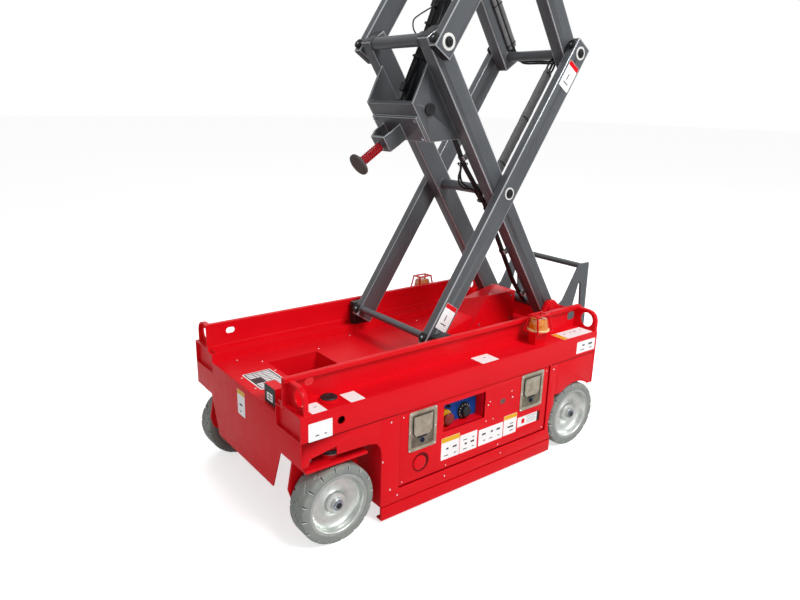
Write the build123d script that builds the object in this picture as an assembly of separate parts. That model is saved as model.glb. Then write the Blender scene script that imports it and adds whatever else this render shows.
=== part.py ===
from build123d import *
import math
import os

# Slab scissor lift: a low chassis on four solid wheels, a three level scissor stack raised
# by one cylinder, and a railed platform with a roll-out deck.
# Frame: +X to the steered front, +Y to the left side with the ground controls, +Z up.
# Origin: on the floor, in the middle of the overall length and width. Sizes in mm.

# ---------------------------------------------------------------- driving dimensions
body_front = 1119.0
body_length = 1962.0
ladder_reach = 276.0
body_width = 1122.0
wheelbase = 1613.0
front_overhang = 191.0
wheel_diameter = 381.0
tyre_width = 118.0
wheel_inset = 2.0
spindle_radius = 20.0
running_clearance = 0.05
sheet = 6.0

ledge_z = 675.0
band_bottom_z = 553.0
deck_z = 617.0
track_z = 662.0
rail_top_z = 800.0
corner_bottom_z = 435.0
rear_panel_bottom_z = 358.0
belly_z = 90.0
skirt_bottom_z = 225.0
deck_half_width = 342.0
rail_y = 403.0
rail_lip = 27.0
panel_inset = 2.0
side_box_front = 698.0
side_box_rear = -509.0
side_box_wall_x = -474.0
tunnel_half_width = 250.0

levels = 3
arm_pin_spacing = 1704.0
arm_height = 110.0
outer_arm_y = 272.0
outer_arm_width = 50.0
inner_arm_y = 187.0
inner_arm_width = 75.0
arm_end = 58.0
arm_pin_radius = 24.0
rest_pad_height = 18.0
pivot_z = 760.0
rest_angle = 56.7
folded_angle = 4.5

kingpin_inset = 85.0
kingpin_radius = 30.0
steer_arm = 110.0

platform_length = 2160.0
platform_width = 1100.0
platform_drop = 136.0
guard_height = 1100.0

# ---------------------------------------------------------------- places worked out
body_rear = body_front - body_length
half_width = body_width / 2
panel_y_out = half_width - panel_inset
kingpin_y = half_width - kingpin_inset
front_axle_x = body_front - front_overhang
rear_axle_x = front_axle_x - wheelbase
wheel_radius = wheel_diameter / 2
wheel_y = half_width - wheel_inset - tyre_width / 2
rear_pivot_x = body_front - 1864.0
rest_rad = math.radians(rest_angle)
level_rise = arm_pin_spacing * math.sin(rest_rad)
level_run = arm_pin_spacing * math.cos(rest_rad)
front_pivot_x = rear_pivot_x + level_run
pin_hole_radius = arm_pin_radius + running_clearance

PARTS = {}


# ---------------------------------------------------------------- small makers
def box(x0, x1, y0, y1, z0, z1):
    """A block between two corners."""
    size = (abs(x1 - x0), abs(y1 - y0), abs(z1 - z0))
    middle = ((x0 + x1) / 2, (y0 + y1) / 2, (z0 + z1) / 2)
    return Pos(*middle) * Box(*size)


def rod_x(x0, x1, y, z, radius):
    """A round bar along X."""
    return Location(((x0 + x1) / 2, y, z), (0, 90, 0)) * Cylinder(radius, abs(x1 - x0))


def rod_y(y0, y1, x, z, radius):
    """A round bar along Y."""
    return Location((x, (y0 + y1) / 2, z), (90, 0, 0)) * Cylinder(radius, abs(y1 - y0))


def rod_z(z0, z1, x, y, radius):
    """A round bar along Z."""
    return Pos(x, y, (z0 + z1) / 2) * Cylinder(radius, abs(z1 - z0))


def prism(points, direction, depth):
    """A flat outline of 3-D points, pushed along a direction."""
    face = Face(Wire.make_polygon([Vector(*p) for p in points], close=True))
    return extrude(face, amount=depth, dir=direction)


def plate_xz(points, y0, y1):
    """A plate whose outline is given in X and Z."""
    return prism([(x, y0, z) for x, z in points], (0, 1, 0), y1 - y0)


def plate_yz(points, x0, x1):
    """A plate whose outline is given in Y and Z."""
    return prism([(x0, y, z) for y, z in points], (1, 0, 0), x1 - x0)


low_align = (Align.CENTER, Align.CENTER, Align.MIN)


def mirror_y(shape):
    """The same shape on the other side of the machine."""
    return mirror(shape, about=Plane.XZ)


def both_sides(shape):
    """A shape and its mirror image across the machine."""
    return [shape, mirror_y(shape)]


def fuse(*shapes):
    """One solid from touching pieces."""
    total = shapes[0]
    for piece in shapes[1:]:
        total = total + piece
    return total


def node(name, *shapes):
    """Files the solids of one sub-part under its name."""
    solids = []
    for shape in shapes:
        if isinstance(shape, (list, tuple)):
            for piece in shape:
                solids.extend(piece.solids())
        else:
            solids.extend(shape.solids())
    PARTS.setdefault(name, []).extend(solids)


# ---------------------------------------------------------------- chassis tray
lip_y = rail_y + rail_lip
arch_radius = wheel_radius + 14.5
arch_front_x = side_box_front
notch_top_z = 492.0
plunger_hole_x = (590.0, 881.0)
plunger_hole_y = (-190.0, 38.0)
kingpin_tube_radius = 46.0


rail_slots = (
    # x, z, half length, half height
    (985.0, 752.0, 25.0, 16.0),
    (-786.0, 738.0, 34.0, 25.0),
)
guide_height = 23.0


def make_slot(x, z, half_length, half_height):
    """A long round-ended hole through the rail."""
    y0, y1 = rail_y - 1, rail_y + sheet + 1
    run = half_length - half_height
    hole = rod_y(y0, y1, x - run, z, half_height) + rod_y(y0, y1, x + run, z, half_height)
    return hole + box(x - run, x + run, y0, y1, z - half_height, z + half_height)


def make_side_channel():
    """One hollow side of the tray: ledge, outer band, rail with its lip, and slide track."""
    ledge = box(body_rear, body_front, rail_y, half_width, ledge_z - sheet, ledge_z)
    band = box(body_rear, body_front, half_width - sheet, half_width, band_bottom_z, ledge_z)
    floor = box(body_rear, body_front, deck_half_width, half_width, band_bottom_z, band_bottom_z + sheet)
    wall = box(body_rear, body_front, rail_y, rail_y + sheet, track_z - sheet, rail_top_z)
    lip = box(body_rear, body_front, rail_y, lip_y, rail_top_z - sheet, rail_top_z)
    lip_edge = box(body_rear, body_front, lip_y - sheet, lip_y, rail_top_z - 20, rail_top_z)
    track = box(body_rear, body_front, deck_half_width, rail_y + sheet, track_z - sheet, track_z)
    guide = box(body_rear, body_front, rail_y - 12, rail_y, track_z, track_z + guide_height)
    inner = box(body_rear, body_front, deck_half_width, deck_half_width + sheet, band_bottom_z, track_z)
    front = box(body_front - 22, body_front - 16, deck_half_width, half_width, band_bottom_z, ledge_z)
    channel = fuse(ledge, band, floor, wall, lip, lip_edge, track, guide, inner, front)
    for x, z, half_length, half_height in rail_slots:
        channel = channel - make_slot(x, z, half_length, half_height)
    channel = channel - rod_z(band_bottom_z - 1, ledge_z + 1, front_axle_x, kingpin_y, kingpin_tube_radius)
    channel = channel - rod_y(half_width - sheet - 1, half_width + 1, 918, 611, 19)
    return channel


def make_tray():
    """Both side channels, joined by the rear wall and the deck plate with its opening."""
    left = make_side_channel()
    deck = box(body_rear, body_front - sheet, -deck_half_width, deck_half_width, deck_z - sheet, deck_z)
    hole_x0, hole_x1 = plunger_hole_x
    hole_y0, hole_y1 = plunger_hole_y
    deck = deck - box(hole_x0, hole_x1, hole_y0, hole_y1, deck_z - sheet - 1, deck_z + 1)
    inside = body_rear + sheet
    rear_low = box(body_rear, inside, -half_width, half_width, rear_panel_bottom_z, band_bottom_z)
    rear_mid = box(body_rear, inside, -deck_half_width, deck_half_width, band_bottom_z, rail_top_z - 40)
    return fuse(left, mirror_y(left), deck, rear_low, rear_mid)


# A sheet well under the deck opening, for the plunger of the pothole guards.
well_floor_z = 330.0
well_wall = 4.0


def make_plunger_well():
    """The sunk well under the deck hole that the folded stack's plunger drops into."""
    x0, x1 = plunger_hole_x
    y0, y1 = plunger_hole_y
    top = deck_z - sheet
    outer = box(x0 - well_wall, x1 + well_wall, y0 - well_wall, y1 + well_wall, well_floor_z, top)
    return outer - box(x0, x1, y0, y1, well_floor_z - 1, top + 1)



# Corner lugs with their lifting and tie-down holes, each with a strap bent round its edge.
lug_plate = 8.0
lug_depth = 24.0
lug_hole_y = 494.0
lug_hole_z = 731.0
lug_hole_radius = 42.0
front_lug_x = body_front - 42
lug_outline = (
    (rail_y + sheet, ledge_z),
    (half_width - 4, ledge_z),
    (half_width - 4, 735.0),
    (half_width - 14, 765.0),
    (half_width - 36, 783.0),
    (half_width - 66, 790.0),
    (rail_y + sheet, 790.0),
)
lug_inside = (
    (rail_y, ledge_z - 20),
    (half_width - 12, ledge_z - 20),
    (half_width - 12, 733.0),
    (half_width - 20, 759.0),
    (half_width - 39, 775.0),
    (half_width - 67, 782.0),
    (rail_y, 782.0),
)


def make_corner_lug(x0, strap_x0):
    """An upright plate with a rimmed hole, and the strap that ties it to the rail."""
    plate = plate_yz(lug_outline, x0, x0 + lug_plate)
    plate = plate - rod_x(x0 - 1, x0 + lug_plate + 1, lug_hole_y, lug_hole_z, lug_hole_radius)
    strap = plate_yz(lug_outline, strap_x0, strap_x0 + lug_depth)
    strap = strap - plate_yz(lug_inside, strap_x0 - 1, strap_x0 + lug_depth + 1)
    return plate + strap


tray = make_tray()
tray = fuse(tray, *both_sides(make_corner_lug(front_lug_x, front_lug_x)))
rear_lug_x = body_rear + lug_depth - lug_plate
tray = fuse(tray, *both_sides(make_corner_lug(rear_lug_x, body_rear)))
node("chassis_tray", tray)

# Inclination sensor housing beside the front left rail.
node("sensor_box", box(front_lug_x - 28, front_lug_x + 26, 212, 312, deck_z, 706))

# Front skirt: one bent sheet, cut away for the steered wheels.
skirt_half = [(deck_half_width, deck_z), (deck_half_width, band_bottom_z), (panel_y_out, band_bottom_z),
              (panel_y_out, corner_bottom_z), (376, corner_bottom_z), (364, 400), (298, skirt_bottom_z)]
skirt_outline = skirt_half + [(-y, z) for y, z in reversed(skirt_half)]
node("body_panels", plate_yz(skirt_outline, body_front - sheet, body_front))


def make_corner_side():
    """The side sheet over a front wheel, with the notch that shows the kingpin boss."""
    front = body_front - sheet
    outline = [
        (front, band_bottom_z),
        (front, corner_bottom_z),
        (front - 34, corner_bottom_z + 6),
        (front - 38, notch_top_z - 22),
        (front - 170, notch_top_z),
        (front - 176, notch_top_z - 42),
        (arch_front_x + 74, notch_top_z - 46),
        (arch_front_x + 26, notch_top_z - 58),
        (arch_front_x + 6, notch_top_z - 86),
        (arch_front_x, notch_top_z - 122),
        (arch_front_x, band_bottom_z),
    ]
    return plate_xz(outline, panel_y_out - sheet, panel_y_out)


def make_rear_side():
    """The side sheet over a rear wheel, cut round the tyre."""
    y0 = panel_y_out - sheet
    panel = box(body_rear + sheet, side_box_rear, y0, panel_y_out, rear_panel_bottom_z, band_bottom_z)
    return panel - rod_y(y0 - 1, half_width + 1, rear_axle_x, wheel_radius, arch_radius)


node("body_panels", both_sides(make_corner_side()), both_sides(make_rear_side()))

# ---------------------------------------------------------------- side boxes and doors
door_x = (-454.0, 593.0)
door_z = (158.0, 548.0)
door_gap = 5.0
door_sheet = 8.0
door_y = panel_y_out - sheet
control_window_x = (34.0, 318.0)
control_window_z = (368.0, 515.0)


def make_side_box():
    """A hollow box under the ledge: skin with the door opening, floor, ends and inner wall."""
    skin_y = panel_y_out - sheet
    skin = box(side_box_rear, side_box_front, skin_y, panel_y_out, belly_z, band_bottom_z)
    opening = box(door_x[0], door_x[1], skin_y - 1, half_width + 1, door_z[0], door_z[1])
    skin = skin - opening
    skin = skin - rod_y(skin_y - 1, half_width + 1, rear_axle_x, wheel_radius, arch_radius)
    floor = box(side_box_wall_x, side_box_front, tunnel_half_width, skin_y, belly_z, belly_z + sheet)
    wall_top = deck_z - sheet
    wall = box(side_box_wall_x, side_box_front, tunnel_half_width, tunnel_half_width + sheet, belly_z, wall_top)
    front = box(side_box_front - sheet, side_box_front, tunnel_half_width, skin_y, belly_z, band_bottom_z)
    rear = box(side_box_wall_x, side_box_wall_x + sheet, tunnel_half_width, skin_y, belly_z, band_bottom_z)
    return fuse(skin, floor, wall, front, rear)


# Belly plate and cross walls of the middle tunnel.
belly_front_x = 560.0


def make_underframe():
    """The belly plate of the middle tunnel with its front and rear walls."""
    inner = tunnel_half_width
    belly = box(side_box_wall_x, belly_front_x, -inner, inner, belly_z, belly_z + sheet)
    front = box(belly_front_x - sheet, belly_front_x, -inner, inner, belly_z, deck_z - sheet)
    rear = box(side_box_wall_x, side_box_wall_x + sheet, -inner, inner, belly_z, deck_z - sheet)
    return fuse(belly, front, rear)


node("underframe", make_underframe(), make_plunger_well())

beam_x = (893.0, 963.0)
beam_z = (470.0, 530.0)
knuckle_top_z = 409.0
kingpin_top_z = 668.0
kingpin_bore = kingpin_radius + running_clearance


def make_front_axle():
    """The front cross beam between two kingpin tubes, hung from the tray by four plates."""
    beam = box(beam_x[0], beam_x[1], -kingpin_y, kingpin_y, beam_z[0], beam_z[1])
    hangers = [box(beam_x[0], beam_x[1], y, y + 12, beam_z[1] - 1, band_bottom_z) for y in (325, 395)]
    frame = fuse(beam, *hangers)
    frame = fuse(frame, *[mirror_y(h) for h in hangers])
    for side in (1, -1):
        tube = rod_z(knuckle_top_z + 26, ledge_z + 6, front_axle_x, side * kingpin_y, kingpin_tube_radius)
        frame = frame + tube
    for side in (1, -1):
        frame = frame - rod_z(300, ledge_z, front_axle_x, side * kingpin_y, kingpin_bore)
        frame = frame + rod_z(ledge_z + 5, ledge_z + 14, front_axle_x, side * kingpin_y, 36)
    return frame


node("front_axle_beam", make_front_axle())

# ---------------------------------------------------------------- steering
spindle_tip = wheel_y + tyre_width / 2 - 4
leg_outer_y = wheel_y - tyre_width / 2 - 8
tie_rod_z = (knuckle_top_z + 3, knuckle_top_z + 23)
fork_half = 160.0


def make_knuckle():
    """Kingpin, top plate, inboard leg with its drive motor, and the wheel spindle."""
    x = front_axle_x
    plate_z = knuckle_top_z - 14
    plate = box(x - fork_half, x + fork_half, leg_outer_y - 12, half_width - 14, plate_z, knuckle_top_z)
    arm = box(x, x + steer_arm, kingpin_y - 22, kingpin_y + 22, knuckle_top_z - 14, knuckle_top_z)
    arm_eye = rod_z(knuckle_top_z - 14, knuckle_top_z, x + steer_arm, kingpin_y, 22)
    boss = rod_z(knuckle_top_z - 14, knuckle_top_z + 24, x, kingpin_y, 42)
    pin = rod_z(knuckle_top_z - 14, kingpin_top_z, x, kingpin_y, kingpin_radius)
    half_leg = [(fork_half, knuckle_top_z), (185, 270), (168, 215), (62, 128)]
    outline = [(x + dx, z) for dx, z in half_leg] + [(x - dx, z) for dx, z in reversed(half_leg)]
    leg = plate_xz(outline, leg_outer_y - 12, leg_outer_y)
    motor = rod_y(leg_outer_y - 110, leg_outer_y - 12, x, wheel_radius, 58)
    spindle = rod_y(leg_outer_y - 1, spindle_tip, x, wheel_radius, spindle_radius)
    tie_pin = rod_z(knuckle_top_z, tie_rod_z[1] + 8, x + steer_arm, kingpin_y, 9)
    return fuse(plate, arm, arm_eye, boss, pin, leg, motor, spindle, tie_pin)


node("knuckle_left", make_knuckle())
node("knuckle_right", mirror_y(make_knuckle()))


def make_tie_rod():
    """The bar between the two steering arms, with an eye at each end."""
    x = front_axle_x + steer_arm
    rod = box(x - 10, x + 10, -kingpin_y + 14, kingpin_y - 14, tie_rod_z[0], tie_rod_z[1])
    eyes = [rod_z(tie_rod_z[0], tie_rod_z[1], x, s * kingpin_y, 20) for s in (1, -1)]
    link = fuse(rod, *eyes)
    for s in (1, -1):
        link = link - rod_z(300, 500, x, s * kingpin_y, 9 + running_clearance)
    return link


node("tie_rod", make_tie_rod())

# Steering cylinder across the front, on the beam; its rod's eye sits over the left steering arm.
steer_cylinder_z = 458.0
steer_cylinder_x = front_axle_x + steer_arm
steer_rod_radius = 11.0


def make_steer_cylinder():
    """The double-rod steering cylinder's barrel and its feet."""
    barrel = rod_y(-140, 190, steer_cylinder_x, steer_cylinder_z, 21)
    bracket = box(beam_x[1], steer_cylinder_x, -120, -80, steer_cylinder_z - 20, steer_cylinder_z + 20)
    second = box(beam_x[1], steer_cylinder_x, 120, 160, steer_cylinder_z - 20, steer_cylinder_z + 20)
    body = fuse(barrel, bracket, second)
    return body - rod_y(-120, 191, steer_cylinder_x, steer_cylinder_z, steer_rod_radius + running_clearance)


def make_steer_rod():
    """The steering cylinder's rod with its eye."""
    rod = rod_y(60, kingpin_y - 20, steer_cylinder_x, steer_cylinder_z, steer_rod_radius)
    eye = rod_z(steer_cylinder_z - 12, steer_cylinder_z + 12, steer_cylinder_x, kingpin_y, 24)
    return fuse(rod, eye) - rod_z(300, 600, steer_cylinder_x, kingpin_y, 10)


node("front_axle_beam", make_steer_cylinder())
node("steer_rod", make_steer_rod())

# ---------------------------------------------------------------- rear axle
axle_half = leg_outer_y - 18


def make_rear_axle():
    """A box beam with a hub motor at each end and the two spindles."""
    x = rear_axle_x
    beam = box(x - 45, x + 45, -axle_half + 80, axle_half - 80, wheel_radius - 45, wheel_radius + 45)
    parts = [beam]
    for s in (1, -1):
        parts.append(rod_y(s * (axle_half - 81), s * (leg_outer_y - 2), x, wheel_radius, 68))
        parts.append(rod_y(s * (leg_outer_y - 3), s * spindle_tip, x, wheel_radius, spindle_radius))
        parts.append(box(x - 45, x + 45, s * 262, s * 274, wheel_radius + 40, band_bottom_z))
    reach = deck_half_width + 20
    parts.append(box(x - 45, x + 45, -reach, reach, band_bottom_z - 12, band_bottom_z))
    return fuse(*parts)


node("rear_axle", make_rear_axle())


# ---------------------------------------------------------------- wheels
rim_radius = 144.0


def make_tyre(x, side):
    """A solid tyre with rounded shoulders."""
    outer = Cylinder(wheel_radius, tyre_width)
    outer = fillet(outer.edges().filter_by(GeomType.CIRCLE), 12)
    ring = outer - Cylinder(rim_radius, tyre_width + 2)
    return Location((x, side * wheel_y, wheel_radius), (90, 0, 0)) * ring


def make_rim(x, side):
    """A dished disc wheel: rim barrel, coned disc and stepped hub, bored for the spindle."""
    half = tyre_width / 2
    profile = [
        (spindle_radius + running_clearance, -half + 20),
        (60, -half + 20),
        (66, -half + 52),
        (rim_radius - 12, -half + 62),
        (rim_radius - 12, -half + 6),
        (rim_radius, -half + 4),
        (rim_radius, half - 4),
        (rim_radius - 9, half - 4),
        (rim_radius - 14, half - 34),
        (70, half - 47),
        (50, half - 40),
        (46, half - 26),
        (32, half - 24),
        (30, half - 8),
        (spindle_radius + running_clearance, half - 8),
    ]
    face = Face(Wire.make_polygon([Vector(r, 0, h) for r, h in profile], close=True))
    wheel = revolve(face, Axis.Z, 360)
    wheel = Rot(-90 * side, 0, 0) * wheel
    return Pos(x, side * wheel_y, wheel_radius) * wheel


wheel_table = (
    # name, axle place, side
    ("front_left", front_axle_x, 1),
    ("front_right", front_axle_x, -1),
    ("rear_left", rear_axle_x, 1),
    ("rear_right", rear_axle_x, -1),
)
for wheel_name, axle_x, side in wheel_table:
    node("tyre_" + wheel_name, make_tyre(axle_x, side))
    node("rim_" + wheel_name, make_rim(axle_x, side))

# ---------------------------------------------------------------- doors, controls, guards
hinge_y = door_y - door_sheet - 7
hinge_z = door_z[0] + door_gap + 15
hinge_radius = 7.0
hinge_pin_radius = 3.5
door_hinges_x = (-350.0, 70.0, 490.0)
hinge_post_y = 500.0
window_x = (-405.0, -225.0)
window_z = (228.0, 292.0)


def make_door_hinges():
    """Fixed knuckles and pins of the fold-down door, on posts that stand behind it on the box floor."""
    pieces = []
    for x in door_hinges_x:
        for x0, x1 in ((x - 40, x - 21), (x + 21, x + 40)):
            post_top = hinge_z + hinge_radius
            post = box(x0, x1, hinge_post_y, hinge_post_y + sheet, belly_z + sheet - 1, post_top)
            arm = box(x0, x1, hinge_post_y, hinge_y, hinge_z, hinge_z + hinge_radius)
            pieces.append(rod_x(x0, x1, hinge_y, hinge_z, hinge_radius) + arm + post)
        pieces.append(rod_x(x - 40, x + 40, hinge_y, hinge_z, hinge_pin_radius))
    return pieces


def make_door(with_window):
    """A fold-down door in a recess of the skin, hinged near its foot."""
    x0, x1 = door_x[0] + door_gap, door_x[1] - door_gap
    z0, z1 = door_z[0] + door_gap, door_z[1] - door_gap
    y0 = door_y - door_sheet
    panel = box(x0, x1, y0, door_y, z0, z1)
    if with_window:
        panel = panel - box(*control_window_x, y0 - 1, door_y + 1, *control_window_z)
        panel = panel - box(*window_x, y0 - 1, door_y + 1, *window_z)
    for x in door_hinges_x:
        knuckle = rod_x(x - 20, x + 20, hinge_y, hinge_z, hinge_radius)
        leaf = box(x - 20, x + 20, hinge_y, y0 + 1, hinge_z - hinge_radius, hinge_z + hinge_radius)
        bore = rod_x(x - 21, x + 21, hinge_y, hinge_z, hinge_pin_radius + running_clearance)
        panel = panel + (knuckle + leaf - bore)
    return panel


guard_z = (15.0, 82.0)
guard_hinge_z = 79.0
guard_hinge_y = panel_y_out - 23
guard_x = (side_box_rear + 4, side_box_front - 6)
guard_hinges_x = (-380.0, 95.0, 570.0)


def make_guard_hinges():
    """Fixed lugs and pins of the pothole guard, under the floor of the side box."""
    pieces = []
    for x in guard_hinges_x:
        for x0, x1 in ((x - 38, x - 21), (x + 21, x + 38)):
            pieces.append(rod_x(x0, x1, guard_hinge_y, guard_hinge_z, hinge_radius)
                          + box(x0, x1, guard_hinge_y - 7, guard_hinge_y + 7, guard_hinge_z, belly_z + 1))
        pieces.append(rod_x(x - 38, x + 38, guard_hinge_y, guard_hinge_z, hinge_pin_radius))
    return pieces


def make_guard():
    """A pothole guard bar with a turned-in foot, hung on three hinges."""
    bar_y = panel_y_out - 14
    bar = box(guard_x[0], guard_x[1], bar_y, panel_y_out, guard_z[0], guard_z[1])
    foot = box(guard_x[0], guard_x[1], panel_y_out - 40, panel_y_out, guard_z[0], guard_z[0] + 10)
    guard = fuse(bar, foot)
    for x in guard_hinges_x:
        knuckle = rod_x(x - 20, x + 20, guard_hinge_y, guard_hinge_z, hinge_radius)
        knuckle = knuckle + box(x - 20, x + 20, guard_hinge_y, bar_y + 1, guard_hinge_z - 7, guard_hinge_z)
        guard = guard + (knuckle - rod_x(x - 21, x + 21, guard_hinge_y, guard_hinge_z,
                                         hinge_pin_radius + running_clearance))
    return guard


side_box = fuse(make_side_box(), *make_door_hinges(), *make_guard_hinges())
node("side_box_left", side_box)
node("side_box_right", mirror_y(side_box))
node("door_left", make_door(True))
node("door_right", mirror_y(make_door(False)))

latch_table = ((365.0, 538.0, 325.0, 534.0), (-405.0, -228.0, 330.0, 540.0))
for x0, x1, z0, z1 in latch_table:
    plate = box(x0, x1, door_y, door_y + 6, z0, z1)
    node("door_latches_left", plate)
    node("door_latches_right", mirror_y(plate))

panel_y = door_y - 45


def make_control_panel():
    """The ground control plate with its bracket to the box floor and ceiling."""
    plate = box(20, 332, panel_y - 6, panel_y, 350, 540)
    post = box(150, 210, panel_y - 46, panel_y - 6, 345, band_bottom_z)
    shelf = box(20, 332, tunnel_half_width + sheet, panel_y, 340, 350)
    return fuse(plate, post, shelf)


node("control_panel", make_control_panel())
node("control_knobs",
     rod_y(panel_y, panel_y + 30, 262, 432, 20),
     rod_y(panel_y, panel_y + 22, 172, 440, 26),
     rod_y(panel_y, panel_y + 26, 290, 500, 8))

# Heavy blocks inside the side boxes.
oil_tank = box(-430, -60, 275, 480, belly_z + sheet, 420)
pump = box(60, 560, 275, 430, belly_z + sheet, 330)
node("hydraulic_unit", oil_tank, pump)
node("battery_pack", box(-420, 560, -480, -270, belly_z + sheet, 385))

node("pothole_guard_left", make_guard())
node("pothole_guard_right", mirror_y(make_guard()))

# ---------------------------------------------------------------- rear fittings
clevis_lug = 22.0
clevis_top_z = 806.0


def make_clevis(y0):
    """One cheek of the rear pivot: it stands on the deck and runs back to the rear wall."""
    outline = [
        (rear_pivot_x + 80, deck_z),
        (rear_pivot_x + 60, clevis_top_z - 60),
        (rear_pivot_x + 34, clevis_top_z - 8),
        (rear_pivot_x + 10, clevis_top_z),
        (rear_pivot_x - 30, clevis_top_z - 2),
        (body_rear + sheet, rail_top_z - 44),
        (body_rear + sheet, deck_z),
    ]
    lug = plate_xz(outline, y0, y0 + clevis_lug)
    return lug - rod_y(y0 - 1, y0 + clevis_lug + 1, rear_pivot_x, pivot_z, pin_hole_radius)


lug_y = inner_arm_y + inner_arm_width + 3
node("rear_pivot_lugs", both_sides(make_clevis(lug_y)))

cover_top_z = 820.0


def make_rear_cover():
    """The faceted sheet cover over the hose run at the back of the deck, and its low front hood."""
    side = [(-692, deck_z), (-311, deck_z), (-455, cover_top_z), (-692, cover_top_z)]
    main = plate_xz(side, -150, 45)
    facet = [(-455, 45, cover_top_z + 1), (-455, -320, cover_top_z + 1), (-455, -320, cover_top_z - 100)]
    main = main - prism(facet, (-0.804, -0.594, 0), 420)
    main = main - prism(facet, (0.804, 0.594, 0), 200)
    hood = [(-340, deck_z), (-150, deck_z), (-210, 655), (-368, 700)]
    return main + plate_xz(hood, -130, 20)


node("rear_cover", make_rear_cover())

ladder_y = 252.0
ladder_sheet = 12.0
ladder_top_z = 990.0


def make_ladder():
    """Two slotted side plates, three treads and a top grab tube, from the body's rear face at X 0."""
    outline = [
        (0, 330), (0, 748), (-45, 780), (-171, ladder_top_z), (-262, ladder_top_z),
        (-267, 700), (-ladder_reach, 640), (-ladder_reach, 270), (-60, 270),
    ]
    side = plate_xz(outline, ladder_y, ladder_y + ladder_sheet)
    slot_outline = [(-198, 858), (-174, 858), (-129, 690), (-215, 690)]
    slot = plate_xz(slot_outline, ladder_y - 1, ladder_y + ladder_sheet + 1)
    slot = slot + rod_y(ladder_y - 1, ladder_y + ladder_sheet + 1, -186, 858, 12)
    side = side - slot
    frame = fuse(side, mirror_y(side))
    for z in (290, 460, 630):
        frame = frame + box(6 - ladder_reach, 86 - ladder_reach, -ladder_y, ladder_y, z, z + 16)
    return frame + rod_y(-ladder_y - 1, ladder_y + 1, -197, ladder_top_z - 18, 17)


node("ladder", Pos(body_rear, 0, 0) * make_ladder())

beacon_y = 494.0
beacon_places = ((-398.0, 1), (-398.0, -1))
beacon_base_z = 750.0
beacon_flange_radius = 60.0
beacon_foot_radius = 54.0
beacon_top_radius = 44.0
beacon_height = 66.0
cage_top_z = 838.0


def make_beacon_cage(x, side):
    """A foot plate on a stand and a sloped cage of bars over the lamp."""
    y = side * beacon_y
    cage = box(x - 64, x + 64, y - 54, y + 54, beacon_base_z - 6, beacon_base_z)
    cage = cage + box(x - 44, x + 44, y - 24, y + 24, ledge_z, beacon_base_z - 5)
    for sx, sy in ((-1, -1), (1, -1), (-1, 1), (1, 1)):
        foot = Vector(x + sx * 57, y + sy * 47, beacon_base_z - 1)
        head = Vector(x + sx * 47, y + sy * 29, cage_top_z - 3)
        leg = Plane(origin=foot, z_dir=head - foot) * Cylinder(5, (head - foot).length, align=low_align)
        cage = cage + leg
    ring = box(x - 52, x + 52, y - 34, y + 34, cage_top_z - 6, cage_top_z)
    return cage + (ring - box(x - 34, x + 34, y - 18, y + 18, cage_top_z - 7, cage_top_z + 1))


def make_beacon(x, side):
    """The lamp: a round flange and a tapering lens with a rounded top."""
    y = side * beacon_y
    flange = rod_z(beacon_base_z, beacon_base_z + 10, x, y, beacon_flange_radius)
    taper = Cone(beacon_foot_radius, beacon_top_radius, beacon_height - 10, align=low_align)
    lens = flange + Pos(x, y, beacon_base_z + 10) * taper
    return fillet(lens.edges().filter_by(GeomType.CIRCLE).sort_by(Axis.Z)[-1], 12)


for lamp_x, lamp_side in beacon_places:
    node("beacon_cages", make_beacon_cage(lamp_x, lamp_side))
    node("beacons", make_beacon(lamp_x, lamp_side))


# ---------------------------------------------------------------- scissor arms
def inner_place(level):
    """Where an inner frame's own axes lie: its rear lower pin, X up along the arms."""
    z = pivot_z + level * level_rise
    return Location((rear_pivot_x, 0, z), (0, -rest_angle, 0))


def outer_place(level):
    """Where an outer frame's own axes lie: its front lower pin, X up the arms, Z to their underside."""
    z = pivot_z + level * level_rise
    return Location((front_pivot_x, 0, z), (0, rest_angle - 180, 0))


def make_arm(y0, width, hole_places):
    """A box-section arm along X, rounded off with bushed pin holes."""
    bar = box(-arm_end, arm_pin_spacing + arm_end, y0, y0 + width, -arm_height / 2, arm_height / 2)
    for s in hole_places:
        bar = bar - rod_y(y0 - 1, y0 + width + 1, s, 0, pin_hole_radius)
    return bar


middle = arm_pin_spacing / 2
tube_radius = arm_pin_radius + 3
top_tube_s = arm_pin_spacing + 32
top_tube_n = -24.0
box_plate_y = inner_arm_y
box_plate_sheet = 12.0
cylinder_pin_s = arm_pin_spacing - 257
cylinder_pin_n = -149.0
cylinder_pin_radius = 20.0
box_outline = [
    (cylinder_pin_s - 235, -50), (cylinder_pin_s - 137, -222),
    (cylinder_pin_s + 80, -222), (cylinder_pin_s + 185, -50),
]
plunger_s = cylinder_pin_s - 81
plunger_y = -27.0
outer_face = outer_arm_y + outer_arm_width
shoe_y = (outer_face + 14, outer_face + 64)
pin_out = outer_face + 6
lug_pin_out = outer_face + 22
rest_pad_places = (-22.0, arm_pin_spacing + 12)


def pin_pair(s, y0, y1):
    """A pair of fixed pins, one on each side."""
    return both_sides(rod_y(y0, y1, s, 0, arm_pin_radius))


head_s = middle - 40.6
head_n = -63.2


def make_head_lugs():
    """Two lugs on the second level's middle tube, one on each side of the rod's eye."""
    web_outline = [(head_s - 34, head_n), (head_s + 30, head_n - 20), (middle + 24, -6), (middle - 26, 12)]
    lugs = []
    for y0, y1 in ((26, 44), (-44, -26)):
        web = plate_xz(web_outline, y0, y1)
        lugs.append(rod_y(y0, y1, head_s, head_n, 38) + web)
    return lugs


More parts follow.
